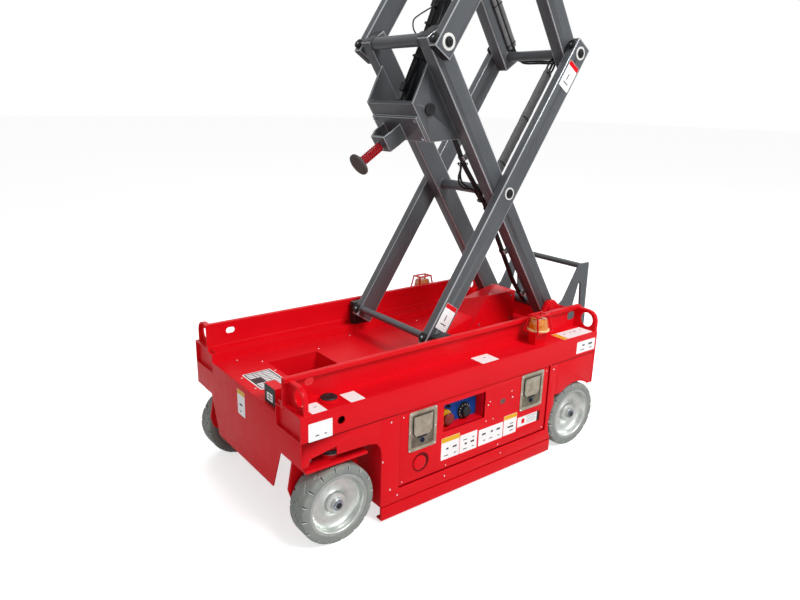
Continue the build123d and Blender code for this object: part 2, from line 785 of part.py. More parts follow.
hose_radius = 8.0
hose_y = (164.0, 147.6)
hose_clip_y = 172.4
hose_run = [
    (70, -62), (250, -78), (middle - 232, -54), (middle - 52, -45),
    (cylinder_pin_s - 387, -70), (cylinder_pin_s - 267, -62),
]
hose_clip_places = ((150, -69), (middle - 382, -64), (middle - 92, -47), (cylinder_pin_s - 337, -66))
sleeve_y = (156.0, 180.0)
sleeve_half = 26.0
upper_sleeve_y = (-186.8, -170.0)
upper_sleeve_n = ((4, 32), (42, 70))


def make_hose_clips():
    """Blocks on the left arm's inner face that the hose clips are screwed to."""
    return [box(s - 14, s + 14, hose_clip_y, inner_arm_y + 1, n - 12, n + 26) for s, n in hose_clip_places]


def make_hose(y):
    """One hose of the lower bundle: gentle bends from the foot of the arm to the cylinder box."""
    line = FilletPolyline(*[(s, y, n) for s, n in hose_run], radius=400)
    return sweep(Plane(origin=line @ 0, z_dir=line % 0) * Circle(hose_radius), path=line)


def make_inner_frame(level):
    """Two heavy arms with cross tubes; pins are fixed in their middles and top ends."""
    arm = make_arm(inner_arm_y, inner_arm_width, (0.0,))
    frame = fuse(arm, mirror_y(arm))
    tubes = [(0.0, 0.0, tube_radius), (middle, 0.0, tube_radius), (top_tube_s, top_tube_n, 30.0)]
    y = inner_arm_y + 1
    for s, n, radius in tubes:
        frame = frame + rod_y(-y, y, s, n, radius)
    top_out = pin_out if level < levels - 1 else shoe_y[1]
    pins = pin_pair(middle, inner_arm_y + 2, pin_out) + pin_pair(arm_pin_spacing, inner_arm_y + 2, top_out)
    bore = rod_y(inner_arm_y - 1, inner_arm_y + inner_arm_width + 1, 0, 0, pin_hole_radius)
    return fuse(frame, *pins) - bore - mirror_y(bore)


def make_outer_frame(level):
    """Two lighter arms outside the inner ones, with their top pins; the lowest pair has a foot tube."""
    arm = make_arm(outer_arm_y, outer_arm_width, (0.0, middle) if level > 0 else (middle,))
    reach_in = inner_arm_y + 2
    reach_out = pin_out if level < levels - 1 else lug_pin_out
    if level == levels - 1:
        reach_in = outer_arm_y + 2
    arm = arm + rod_y(reach_in, reach_out, arm_pin_spacing, 0, arm_pin_radius)
    if level > 0:
        return both_sides(arm)
    arm = arm + rod_y(outer_arm_y + 2, shoe_y[1], 0, 0, arm_pin_radius)
    tube = rod_y(-outer_arm_y - 1, outer_arm_y + 1, -12, -40, 19)
    return [fuse(arm, mirror_y(arm), tube)]


def make_rest_pads():
    """Four rubber blocks on the upper edges at the arm ends."""
    pads = []
    top = -arm_height / 2
    for s in rest_pad_places:
        pad = box(s - 24, s + 24, outer_arm_y + 10, outer_face - 10, top - rest_pad_height, top)
        pads += both_sides(pad)
    return pads


for level in range(levels):
    name = str(level + 1)
    frame = make_inner_frame(level)
    if level == 0:
        frame = fuse(frame, *make_hose_clips())
    if level == 1:
        frame = fuse(frame, *make_head_lugs())
    node("inner_arms_" + name, inner_place(level) * frame)
    for arm in make_outer_frame(level):
        node("outer_arms_" + name, outer_place(level) * arm)
    for pad in make_rest_pads():
        node("rest_pads_" + name, outer_place(level) * pad)

for y in hose_y:
    node("hoses_lower", inner_place(0) * make_hose(y))
sleeve_s = (middle + tube_radius + 0.5, arm_pin_spacing - tube_radius - 0.5)
sleeve = box(*sleeve_s, *sleeve_y, -sleeve_half, sleeve_half)
node("hose_sleeve", outer_place(0) * sleeve)
for n0, n1 in upper_sleeve_n:
    node("hoses_upper", inner_place(1) * box(34, middle - tube_radius - 7, *upper_sleeve_y, n0, n1))

pivot_pin = rod_y(inner_arm_y + 1, lug_y + clevis_lug + 8, rear_pivot_x, pivot_z, arm_pin_radius)
node("rear_pivot_lugs", both_sides(pivot_pin))

shoe_half_height = 40.0
lower_shoe = box(front_pivot_x - 50, front_pivot_x + 50, shoe_y[0], shoe_y[1], track_z + 0.5, pivot_z + 34)
lower_shoe = lower_shoe - rod_y(shoe_y[0] - 1, shoe_y[1] + 1, front_pivot_x, pivot_z, pin_hole_radius)
node("lower_slide_shoes", both_sides(lower_shoe))

top_pivot_z = pivot_z + levels * level_rise
upper_shoe = box(front_pivot_x - 50, front_pivot_x + 50, shoe_y[0], shoe_y[1],
                 top_pivot_z - shoe_half_height, top_pivot_z + shoe_half_height)
upper_shoe = upper_shoe - rod_y(shoe_y[0] - 1, shoe_y[1] + 1, front_pivot_x, top_pivot_z, pin_hole_radius)
node("upper_slide_shoes", both_sides(upper_shoe))


# ---------------------------------------------------------------- cylinder box and plunger
def make_cylinder_box():
    """Two side plates and a bolted floor plate under the lowest inner arms, for the cylinder's foot."""
    sides = plate_xz(box_outline, box_plate_y - box_plate_sheet, box_plate_y)
    s = cylinder_pin_s
    floor = box(s - 131, s + 74, -box_plate_y, box_plate_y, -222, -210)
    bar = box(s + 42, s + 74, -box_plate_y, box_plate_y, -222, -190)
    body = fuse(sides, mirror_y(sides), floor, bar)
    pin = rod_y(-box_plate_y - 8, box_plate_y + 8, cylinder_pin_s, cylinder_pin_n, cylinder_pin_radius)
    return body + pin


bracket_s = (plunger_s - 36, plunger_s + 50)
flange_s = (plunger_s - 46, plunger_s + 89)
flange_n = (-236.0, -221.0)


def make_plunger_bracket():
    """A bolted flange with a bent U strap that carries the plunger."""
    flange = box(flange_s[0], flange_s[1], -178, 178, flange_n[0], flange_n[1])
    outline = [(-112, -230), (32, -230), (32, -300), (26, -352), (-82, -352), (-112, -300)]
    strap = prism([(bracket_s[0], y, n) for y, n in outline], (1, 0, 0), bracket_s[1] - bracket_s[0])
    inner = [(-102, -220), (22, -220), (22, -298), (18, -340), (-76, -340), (-102, -296)]
    hollow = prism([(bracket_s[0] - 1, y, n) for y, n in inner], (1, 0, 0), bracket_s[1] - bracket_s[0] + 2)
    hole = Pos(plunger_s, plunger_y, -346) * Cylinder(12 + running_clearance, 20)
    return (strap - hollow - hole) + flange


place = inner_place(0)
node("cylinder_box", place * fuse(make_cylinder_box(), make_plunger_bracket()))
spring_n = (-352.0, -497.0)
foot_n = (-504.0, -523.0)
plunger_rod = Pos(plunger_s, plunger_y, (foot_n[0] - 330) / 2) * Cylinder(12, -330 - foot_n[0])
plunger_spring = Pos(plunger_s, plunger_y, sum(spring_n) / 2) * Cylinder(24, spring_n[0] - spring_n[1])
plunger_foot = Pos(plunger_s, plunger_y, sum(foot_n) / 2) * Cylinder(58, foot_n[0] - foot_n[1])
node("plunger", place * fuse(plunger_rod, plunger_spring, plunger_foot))

# ---------------------------------------------------------------- lift cylinder
barrel_radius = 40.0
rod_radius = 24.0
rod_head_room = 90.4
rod_engaged = 92.47


def in_frame(level, s, n):
    """X and Z of a point given along and across an inner frame."""
    z0 = pivot_z + level * level_rise
    x = rear_pivot_x + s * math.cos(rest_rad) - n * math.sin(rest_rad)
    z = z0 + s * math.sin(rest_rad) + n * math.cos(rest_rad)
    return x, z


foot_x, foot_z = in_frame(0, cylinder_pin_s, cylinder_pin_n)
head_x, head_z = in_frame(1, head_s, head_n)
cylinder_length = math.hypot(head_x - foot_x, head_z - foot_z)
folded_rad = math.radians(folded_angle)
barrel_floor = 100.0


def pin_distance(angle):
    """Distance between the cylinder's two pins with the arms at an angle, in radians."""
    run = (head_s - cylinder_pin_s) * math.cos(angle) - (head_n - cylinder_pin_n) * math.sin(angle)
    rise = (arm_pin_spacing + head_s - cylinder_pin_s) * math.sin(angle)
    return math.hypot(run, rise + (head_n - cylinder_pin_n) * math.cos(angle))


barrel_length = pin_distance(folded_rad) - rod_head_room
cylinder_angle = math.degrees(math.atan2(head_z - foot_z, head_x - foot_x))
cylinder_place = Location((foot_x, 0, foot_z), (0, -cylinder_angle, 0))


def make_barrel():
    """The lift cylinder's tube with its foot eye."""
    eye = rod_y(-60, 60, 0, 0, 44)
    tube = rod_x(20, barrel_length, 0, 0, barrel_radius)
    barrel = fuse(tube, eye) - rod_y(-70, 70, 0, 0, cylinder_pin_radius + running_clearance)
    return barrel - rod_x(barrel_floor, barrel_length + 1, 0, 0, rod_radius + running_clearance)


def make_rod():
    """The lift cylinder's rod with its head eye."""
    rod = rod_x(barrel_length - rod_engaged, cylinder_length - 20, 0, 0, rod_radius)
    eye = rod_y(-20, 20, cylinder_length, 0, 38)
    return fuse(rod, eye) - rod_y(-30, 30, cylinder_length, 0, cylinder_pin_radius + running_clearance)


node("lift_barrel", cylinder_place * make_barrel())
node("lift_rod", cylinder_place * make_rod())


# ---------------------------------------------------------------- platform
platform_x0 = -platform_length / 2 - 20
platform_x1 = platform_x0 + platform_length
floor_z = top_pivot_z + platform_drop
floor_sheet = 6.0
track_half = shoe_half_height + 1
track_wall_y = shoe_y[1] + 6
track_x = (20.0, 1020.0)


def make_platform_frame():
    """Slide tracks, rear pivot lugs, long beams and cross beams under the platform floor."""
    pieces = []
    low, high = top_pivot_z - track_half, top_pivot_z + track_half
    beam_half = platform_width / 2 - 4
    for s in (1, -1):
        y_in, y_out = s * (outer_face + 12), s * (track_wall_y + 6)
        pieces.append(box(*track_x, y_in, y_out, low - 6, low))
        pieces.append(box(*track_x, y_in, y_out, high, high + 6))
        pieces.append(box(track_x[0], track_x[1], s * track_wall_y, y_out,
                          top_pivot_z - track_half - 6, top_pivot_z + track_half + 6))
        pieces.append(box(platform_x0 + 20, platform_x1 - 20, s * (outer_face + 4), s * (track_wall_y + 6),
                          top_pivot_z + 64, floor_z - floor_sheet))
        lug = plate_xz([(rear_pivot_x - 60, top_pivot_z + 70), (rear_pivot_x - 40, top_pivot_z - 34),
                        (rear_pivot_x + 40, top_pivot_z - 34), (rear_pivot_x + 60, top_pivot_z + 70)],
                       outer_face + 4, outer_face + 18)
        lug = lug - rod_y(outer_face, outer_face + 30, rear_pivot_x, top_pivot_z, pin_hole_radius)
        pieces.append(lug if s > 0 else mirror_y(lug))
        pieces.append(box(track_x[0], track_x[1], s * (outer_face + 20), s * (track_wall_y + 6),
                          top_pivot_z + track_half, top_pivot_z + 66))
    for x in (platform_x0 + 20, -200, 420, platform_x1 - 70):
        pieces.append(box(x, x + 50, -beam_half, beam_half, floor_z - 50, floor_z - floor_sheet))
    return fuse(*pieces)


node("platform_frame", make_platform_frame())

toe_height = 150.0
rail_tube = 19.0
gate_half = 290.0


def make_platform_deck():
    """The floor plate with its toe boards."""
    half = platform_width / 2
    floor = box(platform_x0, platform_x1, -half, half, floor_z - floor_sheet, floor_z)
    boards = [box(platform_x0, platform_x1, half - 3, half, floor_z, floor_z + toe_height)]
    boards.append(mirror_y(boards[0]))
    boards.append(box(platform_x0, platform_x0 + 3, gate_half, half, floor_z, floor_z + toe_height))
    boards.append(mirror_y(boards[2]))
    return fuse(floor, *boards)


node("platform_deck", make_platform_deck())

rail_top = floor_z + guard_height
rail_mid = floor_z + guard_height / 2
main_rail_y = platform_width / 2 - 3 - rail_tube
main_posts_x = (platform_x0 + 24, platform_x0 + 24 + 700, platform_x0 + 24 + 1400, platform_x1 - 24)


def make_guard_rails():
    """Fixed rails on both sides and the two short rails beside the rear gate."""
    pieces = []
    x_rear = platform_x0 + 3 + rail_tube
    for s in (1, -1):
        y = s * main_rail_y
        for z in (rail_top - rail_tube, rail_mid):
            pieces.append(rod_x(x_rear, platform_x1 - 24, y, z, rail_tube))
            pieces.append(rod_y(y, s * gate_half, x_rear, z, rail_tube))
        for x in main_posts_x:
            post_x = x if x > x_rear + 5 else x_rear
            pieces.append(rod_z(floor_z, rail_top - rail_tube, post_x, y, rail_tube))
        pieces.append(rod_z(floor_z, rail_top - rail_tube, x_rear, s * gate_half, rail_tube))
    left = fuse(*pieces[:len(pieces) // 2])
    right = fuse(*pieces[len(pieces) // 2:])
    return [left, right]


node("guard_rails", make_guard_rails())


def make_gate():
    """The rear entry gate: a tube frame hung on the left gate post."""
    x = platform_x0 + 3 + rail_tube
    y0 = gate_half - 2 * rail_tube - 8
    y1 = -gate_half + 2 * rail_tube + 4
    low, high = floor_z + 160, rail_top - rail_tube
    frame = rod_z(low - 14, high + 14, x, y0, 14) + rod_z(low - 14, high + 14, x, y1, 14)
    for z in (low, rail_mid, high):
        frame = frame + rod_y(y0, y1, x, z, 12)
    for z in (floor_z + 300, rail_top - 200):
        frame = frame + box(x - 5, x + 5, y0 + 4, gate_half - rail_tube - 0.3, z, z + 40)
    return frame


node("entry_gate", make_gate())

extension_x0 = -430.0
extension_x1 = platform_x1 + 20
extension_half = main_rail_y - rail_tube - 34


def make_extension_deck():
    """The roll-out floor with its front toe board."""
    floor = box(extension_x0, extension_x1, -extension_half, extension_half, floor_z + 0.5, floor_z + 10)
    half = extension_half
    board = box(extension_x1 - 3, extension_x1, -half, half, floor_z + 10, floor_z + toe_height)
    sides = both_sides(box(extension_x0, extension_x1, extension_half - 3, extension_half,
                           floor_z + 10, floor_z + toe_height))
    return fuse(floor, board, *sides)


node("extension_deck", make_extension_deck())


def make_extension_rails():
    """The rails on three sides of the roll-out deck."""
    y = extension_half - 3 - 16
    x_front = extension_x1 - 3 - 16
    pieces = []
    for s in (1, -1):
        for z in (rail_top - 60, rail_mid - 30):
            pieces.append(rod_x(extension_x0 + 20, x_front, s * y, z, 16))
        for x in (extension_x0 + 20, (extension_x0 + x_front) / 2, x_front):
            pieces.append(rod_z(floor_z + 10, rail_top - 60, x, s * y, 16))
    for z in (rail_top - 60, rail_mid - 30):
        pieces.append(rod_y(-y, y, x_front, z, 16))
    return fuse(*pieces)


node("extension_rails", make_extension_rails())
node("platform_controls",
     box(extension_x1 - 150, extension_x1 - 36, -170, 90, rail_top - 200, rail_top - 90)
     + box(extension_x1 - 44, extension_x1 - 35.2, -140, -100, rail_top - 200, rail_top - 50)
     + box(extension_x1 - 44, extension_x1 - 35.2, 20, 60, rail_top - 200, rail_top - 50))

# ---------------------------------------------------------------- write the files
os.makedirs("parts", exist_ok=True)
for name, solids in PARTS.items():
    export_step(Compound(children=solids), os.path.join("parts", name + ".step"))
print(len(PARTS), "nodes", round(cylinder_length, 1), round(cylinder_angle, 2))
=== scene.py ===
import bpy
import bmesh
import math
from mathutils import Matrix, Vector, noise


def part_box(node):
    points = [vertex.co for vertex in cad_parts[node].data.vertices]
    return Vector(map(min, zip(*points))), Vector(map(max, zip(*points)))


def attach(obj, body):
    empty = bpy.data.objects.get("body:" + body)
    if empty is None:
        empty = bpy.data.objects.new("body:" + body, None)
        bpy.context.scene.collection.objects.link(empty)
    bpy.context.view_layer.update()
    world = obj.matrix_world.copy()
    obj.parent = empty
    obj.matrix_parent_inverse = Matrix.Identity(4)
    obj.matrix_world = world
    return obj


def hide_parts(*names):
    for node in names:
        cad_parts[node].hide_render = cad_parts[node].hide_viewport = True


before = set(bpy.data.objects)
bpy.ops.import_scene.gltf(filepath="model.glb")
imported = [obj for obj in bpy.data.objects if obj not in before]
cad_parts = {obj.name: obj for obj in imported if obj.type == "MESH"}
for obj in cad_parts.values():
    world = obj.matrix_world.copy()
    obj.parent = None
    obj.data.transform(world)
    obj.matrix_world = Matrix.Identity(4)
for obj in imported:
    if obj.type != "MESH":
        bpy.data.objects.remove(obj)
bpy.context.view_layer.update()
scene = bpy.context.scene
scene.view_settings.view_transform = "Standard"

# ---------- camera
# A 30 mm lens a little above eye height, looking down on the front and the left side.
camera_data = bpy.data.cameras.new("camera")
camera_data.lens = 30.267
camera_data.sensor_width = 36.0
camera_data.shift_x = 0.01475
camera_data.shift_y = 0.003
camera_data.clip_end = 100.0
camera = bpy.data.objects.new("camera", camera_data)
camera.matrix_world = (
    Matrix.Translation((2.3501, 2.7534, 1.9329))
    @ Matrix.Rotation(4.0617 - math.pi / 2, 4, "Z")
    @ Matrix.Rotation(math.pi / 2 - 0.2939, 4, "X")
    @ Matrix.Rotation(0.0223, 4, "Z")
)
scene.collection.objects.link(camera)
scene.camera = camera


# ---------- studio
# A white room: a large lamp high over the left side, weak fills round the machine,
# and a floor that shows white but keeps the shadow.
def linear(text):
    """A linear colour from an sRGB hex value."""
    channels = [int(text[i:i + 2], 16) / 255 for i in (1, 3, 5)]
    return [c / 12.92 if c <= 0.04045 else ((c + 0.055) / 1.055) ** 2.4 for c in channels] + [1.0]


def add(tree, kind, settings=None, **inputs):
    """A node with its settings, and its inputs set or linked; i6 means input number 6."""
    made = tree.nodes.new(kind)
    for key, value in (settings or {}).items():
        setattr(made, key, value)
    for key, value in inputs.items():
        socket = made.inputs[int(key[1:])] if key[1:].isdigit() else made.inputs[key.replace("_", " ")]
        if isinstance(value, bpy.types.NodeSocket):
            tree.links.new(value, socket)
        else:
            socket.default_value = value
    return made


def lamp(name, place, target, size, power):
    """A round soft lamp aimed at a point."""
    data = bpy.data.lights.new(name, "AREA")
    data.shape = "DISK"
    data.size = size
    data.energy = power
    made = bpy.data.objects.new(name, data)
    aim = Vector(target) - Vector(place)
    made.matrix_world = Matrix.Translation(place) @ aim.to_track_quat("-Z", "Y").to_matrix().to_4x4()
    scene.collection.objects.link(made)
    return made


lamp("key_lamp", (-0.6, 5.6, 7.2), (0.0, 0.2, 0.9), 3.6, 540)
lamp("front_lamp", (6.5, 2.0, 3.0), (0.2, 0.0, 0.9), 4.0, 4)
lamp("right_lamp", (-1.5, -6.0, 5.0), (-0.2, 0.0, 1.2), 4.0, 160).visible_glossy = False

world = bpy.data.worlds.new("white_room")
world.use_nodes = True
scene.world = world
tree = world.node_tree
tree.nodes.clear()
ray = add(tree, "ShaderNodeLightPath")
seen = add(tree, "ShaderNodeMath", {"operation": "MAXIMUM"},
           i0=ray.outputs["Is Camera Ray"], i1=ray.outputs["Is Glossy Ray"])
seen = add(tree, "ShaderNodeMath", {"operation": "MAXIMUM"},
           i0=seen.outputs[0], i1=ray.outputs["Is Transmission Ray"])
soft = add(tree, "ShaderNodeBackground", Color=linear("#ffffff"), Strength=0.38)
clean = add(tree, "ShaderNodeBackground", Color=linear("#ffffff"), Strength=1.0)
air = add(tree, "ShaderNodeMixShader", i0=seen.outputs[0], i1=soft.outputs[0], i2=clean.outputs[0])
add(tree, "ShaderNodeOutputWorld", Surface=air.outputs[0])

floor_mesh = bpy.data.meshes.new("floor")
floor_mesh.from_pydata([(-60, -60, 0), (60, -60, 0), (60, 60, 0), (-60, 60, 0)], [], [(0, 1, 2, 3)])
floor = bpy.data.objects.new("floor", floor_mesh)
scene.collection.objects.link(floor)
paper = bpy.data.materials.new("matt_white_paper")
paper.use_nodes = True
tree = paper.node_tree
tree.nodes.clear()
matt = add(tree, "ShaderNodeBsdfDiffuse", Color=linear("#e8e8e8"))
glow = add(tree, "ShaderNodeEmission", Color=linear("#ffffff"), Strength=0.66)
lit = add(tree, "ShaderNodeAddShader", i0=matt.outputs[0], i1=glow.outputs[0])
ray = add(tree, "ShaderNodeLightPath")
pick = add(tree, "ShaderNodeMixShader", i0=ray.outputs["Is Camera Ray"], i1=matt.outputs[0], i2=lit.outputs[0])
# A camera under the floor looks through it.
below = add(tree, "ShaderNodeMath", {"operation": "MULTIPLY"},
            i0=add(tree, "ShaderNodeNewGeometry").outputs["Backfacing"], i1=ray.outputs["Is Camera Ray"])
sheet = add(tree, "ShaderNodeMixShader", i0=below.outputs[0], i1=pick.outputs[0],
            i2=add(tree, "ShaderNodeBsdfTransparent").outputs[0])
add(tree, "ShaderNodeOutputMaterial", Surface=sheet.outputs[0])
floor_mesh.materials.append(paper)


# ---------- red chassis
# Folded and welded 6 mm sheet: tray, corner panels, side boxes, axle beams and pivot lugs.
# All of it is sprayed in one red gloss enamel after welding, so its edges are slightly rounded.
def surface(name):
    """An empty node material and the object's own coordinates in it."""
    made = bpy.data.materials.new(name)
    made.use_nodes = True
    made.node_tree.nodes.clear()
    return made, made.node_tree, add(made.node_tree, "ShaderNodeTexCoord").outputs["Object"]


def close(made, colour, rough, relief, **more):
    """One coat of the given colour, roughness and relief on the material's output."""
    shader = add(made.node_tree, "ShaderNodeBsdfPrincipled", Base_Color=colour, Roughness=rough,
                 Normal=relief.outputs[0], **more)
    add(made.node_tree, "ShaderNodeOutputMaterial", Surface=shader.outputs[0])
    return made


def spread(tree, node, low, high, **more):
    """A node's value stretched to run from low to high."""
    return add(tree, "ShaderNodeMapRange", Value=node.outputs[0], To_Min=low, To_Max=high, **more).outputs[0]


def two_tones(tree, where, size_mm, first, second, low=0.35, high=0.65):
    """Slow drifts between two colours, in patches of about the given size."""
    drift = add(tree, "ShaderNodeTexNoise", Vector=where, Scale=1000 / size_mm, Detail=4.0, Roughness=0.6)
    step = spread(tree, drift, 0.0, 1.0, From_Min=low, From_Max=high)
    mix = add(tree, "ShaderNodeMix", {"data_type": "RGBA"}, i0=step, i6=linear(first), i7=linear(second))
    return mix.outputs[2]


def grain(tree, where, size_mm, strength, depth_mm):
    """Fine relief of about the given size."""
    fine = add(tree, "ShaderNodeTexNoise", Vector=where, Scale=1000 / size_mm)
    return add(tree, "ShaderNodeBump", Strength=strength, Distance=depth_mm / 1000, Height=fine.outputs[0])


def enamel(name, first, second, gloss):
    """Gloss paint: faint drifts of tone, and a gloss that handling has changed in patches of 55 mm.

    Its orange peel is drawn at 9 mm, coarser than on real paint, so that it shows.
    """
    made, tree, where = surface(name)
    tone = two_tones(tree, where, 420, first, second, 0.2, 0.8)
    rub = add(tree, "ShaderNodeTexNoise", Vector=where, Scale=18.0, Detail=6.0, Roughness=0.7)
    sheen = spread(tree, rub, gloss - 0.06, gloss + 0.08, From_Min=0.3, From_Max=0.7)
    return close(made, tone, sheen, grain(tree, where, 9, 0.05, 0.15), Specular_IOR_Level=0.13)


# Deep signal red with a wet look; it sets the colour of the whole machine.
red_enamel = enamel("red_gloss_enamel", "#dd0a18", "#e40f1e", 0.36)


def settle(name, mesh, body, node=None):
    """Puts a mesh in the scene as a piece on a body; it stands for a frame part if one is named."""
    piece = bpy.data.objects.new(name, mesh)
    scene.collection.objects.link(piece)
    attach(piece, body)
    if node:
        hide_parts(node)
    return piece


def finish(name, bm, body, paints, crease=40.0, node=None):
    """Turns a bmesh into a finished piece with the given paints, and returns it."""
    bmesh.ops.recalc_face_normals(bm, faces=bm.faces)
    mesh = bpy.data.meshes.new(name)
    bm.to_mesh(mesh)
    bm.free()
    mesh.shade_smooth()
    mesh.set_sharp_from_angle(angle=math.radians(crease))
    for paint in paints:
        mesh.materials.append(paint)
    return settle(name, mesh, body, node)


def roll_edges(bm, width, least=35.0, steps=2):
    """Rounds every sharp edge of a bmesh that is long enough to take it."""
    sharp = [e for e in bm.edges if len(e.link_faces) == 2 and e.calc_face_angle(0.0) > math.radians(least)
             and e.calc_length() > 2.5 * width]
    return bmesh.ops.bevel(bm, geom=sharp, offset=width, segments=steps, profile=0.6, affect="EDGES",
                           clamp_overlap=False)


def softened(node, body, paint, width=0.0012, rim=None):
    """A copy of a frame part with merged points and rounded edges stands for it; rim paints the rounding."""
    bm = bmesh.new()
    bm.from_mesh(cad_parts[node].data)
    bmesh.ops.remove_doubles(bm, verts=bm.verts, dist=2e-5)
    bmesh.ops.dissolve_limit(bm, angle_limit=math.radians(0.8), verts=bm.verts, edges=bm.edges)
    for face in roll_edges(bm, width)["faces"]:
        face.material_index = 1 if rim else 0
    finish(node + "_finished", bm, body, [paint, rim] if rim else [paint], node=node)


for node in ("chassis_tray", "body_panels", "side_box_left", "side_box_right", "underframe", "front_axle_beam",
             "rear_axle", "rear_pivot_lugs", "rear_cover", "beacon_cages"):
    softened(node, "chassis", red_enamel)
for thing, short in (("door", "door"), ("pothole_guard", "guard"), ("knuckle", "knuckle")):
    for tag in ("left", "right"):
        softened(thing + "_" + tag, tag + "_" + short, red_enamel)


# ---------- weld tabs and sheet fixings
# Short welds tie the rails to the ledge and the deck.
# Zinc-plated button screws hold the side sheets and the deck, and stand about 2 mm proud.
def metal(name, first, second, rough, size_mm=6):
    """Plated or bare metal with faint tarnish of 30 mm, rubbed spots of 8 mm and a fine grain."""
    made, tree, where = surface(name)
    tone = two_tones(tree, where, 30, first, second)
    rub = add(tree, "ShaderNodeTexNoise", Vector=where, Scale=120.0, Detail=5.0)
    sheen = spread(tree, rub, rough - 0.08, rough + 0.1)
    return close(made, tone, sheen, grain(tree, where, size_mm, 0.08, 0.2), Metallic=1.0)


# Bright zinc plate: small points of light on the painted sheet.
bright_zinc = metal("bright_zinc_plate", "#eceef0", "#dcdfe2", 0.22)
# Where an outline's two measures and the plate's thickness go, for a plate in each plane.
planes = {"xy": lambda a, b, c: (a, b, c), "xz": lambda a, b, c: (a, c, b), "yz": lambda a, b, c: (c, a, b)}


def cap(bm, ring, paint=0):
    """One face over a ring of corners."""
    face = bm.faces.new(ring)
    face.material_index = paint
    return face


def skin(bm, rows, closed=False, paint=0):
    """Faces between rows of corners, each row a ring or one point; closed joins the last row to the first."""
    faces = []
    for row, after in zip(rows, rows[1:] + rows[:1] if closed else rows[1:]):
        count = max(len(row), len(after))
        for i in range(count if count > 1 else 0):
            j = (i + 1) % count
            corners = (row[i % len(row)], row[j % len(row)], after[j % len(after)], after[i % len(after)])
            faces.append(cap(bm, tuple(dict.fromkeys(corners)), paint))
    return faces


def slab(bm, outline, low, high, plane="xy", paint=0):
    """A flat plate: an outline in one plane, drawn out between two distances along the third axis."""
    rows = [[bm.verts.new(planes[plane](a, b, c)) for a, b in outline] for c in (low, high)]
    for row in rows:
        cap(bm, row, paint)
    skin(bm, rows, paint=paint)


def turned(bm, profile, place, sides=32, paint=0, hollow=False):
    """(Radius, height) pairs in mm spun round Z, with end faces or, if hollow, closed into a ring."""
    rings = []
    for radius, height in profile:
        angles = [2 * math.pi * i / sides for i in range(sides if radius else 1)]
        rings.append([bm.verts.new(place @ (Vector((radius * math.cos(a), radius * math.sin(a), height)) / 1000))
                      for a in angles])
    faces = skin(bm, rings, hollow, paint)
    faces += [cap(bm, ring, paint) for ring in (rings[0], rings[-1]) if len(ring) > 1 and not hollow]
    for face in faces:
        face.smooth = True


def growing(title, sockets):
    """An empty geometry node tree with the given input sockets, and those inputs."""
    tree = bpy.data.node_groups.new(title, "GeometryNodeTree")
    for name, kind in sockets:
        tree.interface.new_socket(name, in_out="INPUT", socket_type="NodeSocket" + kind)
    tree.interface.new_socket("Grown", in_out="OUTPUT", socket_type="NodeSocketGeometry")
    return tree, add(tree, "NodeGroupInput").outputs


def dress(tree, grown, given):
    """The end of such a tree: the copies become one mesh in the given finish."""
    whole = add(tree, "GeometryNodeRealizeInstances", Geometry=grown.outputs[0])
    dressed = add(tree, "GeometryNodeSetMaterial", Geometry=whole.outputs[0], Material=given["Finish"])
    add(tree, "NodeGroupOutput", i0=dressed.outputs[0])


def grown_mesh(name, tree, start, values):
    """The mesh that such a tree grows from a start mesh."""
    holder = bpy.data.objects.new(name + "_start", start)
    scene.collection.objects.link(holder)
    modifier = holder.modifiers.new("growth", "NODES")
    modifier.node_group = tree
    sockets = {item.name: item.identifier for item in tree.interface.items_tree if item.in_out == "INPUT"}
    for title, value in values.items():
        modifier[sockets[title]] = value
    bpy.context.view_layer.update()
    mesh = bpy.data.meshes.new_from_object(holder.evaluated_get(bpy.context.evaluated_depsgraph_get()))
    bpy.data.objects.remove(holder)
    mesh.name = name
    return mesh


def part_tree():
    """The node tree that stands one small part on every point of a mesh, facing that point's own way."""
    sockets = (("Points", "Geometry"), ("Part", "Object"), ("Turn spread", "Float"), ("Seed", "Int"),
               ("Finish", "Material"))
    tree, given = growing("parts_on_points", sockets)
    way = add(tree, "GeometryNodeInputNamedAttribute", {"data_type": "FLOAT_VECTOR"}, Name="way")
    stand = add(tree, "FunctionNodeAlignRotationToVector", {"axis": "Z"}, Vector=way.outputs[0])
    angle = add(tree, "FunctionNodeRandomValue", {"data_type": "FLOAT"}, i2=0.0, i3=given["Turn spread"],
                Seed=given["Seed"])
    spin = add(tree, "FunctionNodeAxisAngleToRotation", Axis=(0, 0, 1), Angle=angle.outputs[1])
    turn = add(tree, "FunctionNodeRotateRotation", {"rotation_space": "LOCAL"},
               Rotation=stand.outputs[0], Rotate_By=spin.outputs[0])
    part = add(tree, "GeometryNodeObjectInfo", Object=given["Part"])
    copies = add(tree, "GeometryNodeInstanceOnPoints", Points=given["Points"], Instance=part.outputs["Geometry"],
                 Rotation=turn.outputs[0])
    dress(tree, copies, given)
    return tree


parts_on_points = part_tree()


def repeated(name, part, places, body, paint, twist=0.0, seed=1):
    """Many copies of one small part on one body; places are (point, way) pairs."""
    pattern_mesh = bpy.data.meshes.new(name + "_pattern")
    bmesh.ops.recalc_face_normals(part, faces=part.faces)
    part.to_mesh(pattern_mesh)
    part.free()
    pattern = bpy.data.objects.new(name + "_pattern", pattern_mesh)
    scene.collection.objects.link(pattern)
    points = bpy.data.meshes.new(name + "_points")
    points.from_pydata([place for place, way in places], [], [])
    ways = points.attributes.new("way", "FLOAT_VECTOR", "POINT")
    for i, (place, way) in enumerate(places):
        ways.data[i].vector = way
    mesh = grown_mesh(name, parts_on_points, points,
                      {"Part": pattern, "Turn spread": twist, "Seed": seed, "Finish": paint})
    bpy.data.objects.remove(pattern)
    mesh.set_sharp_from_angle(angle=math.radians(35))
    settle(name, mesh, body)


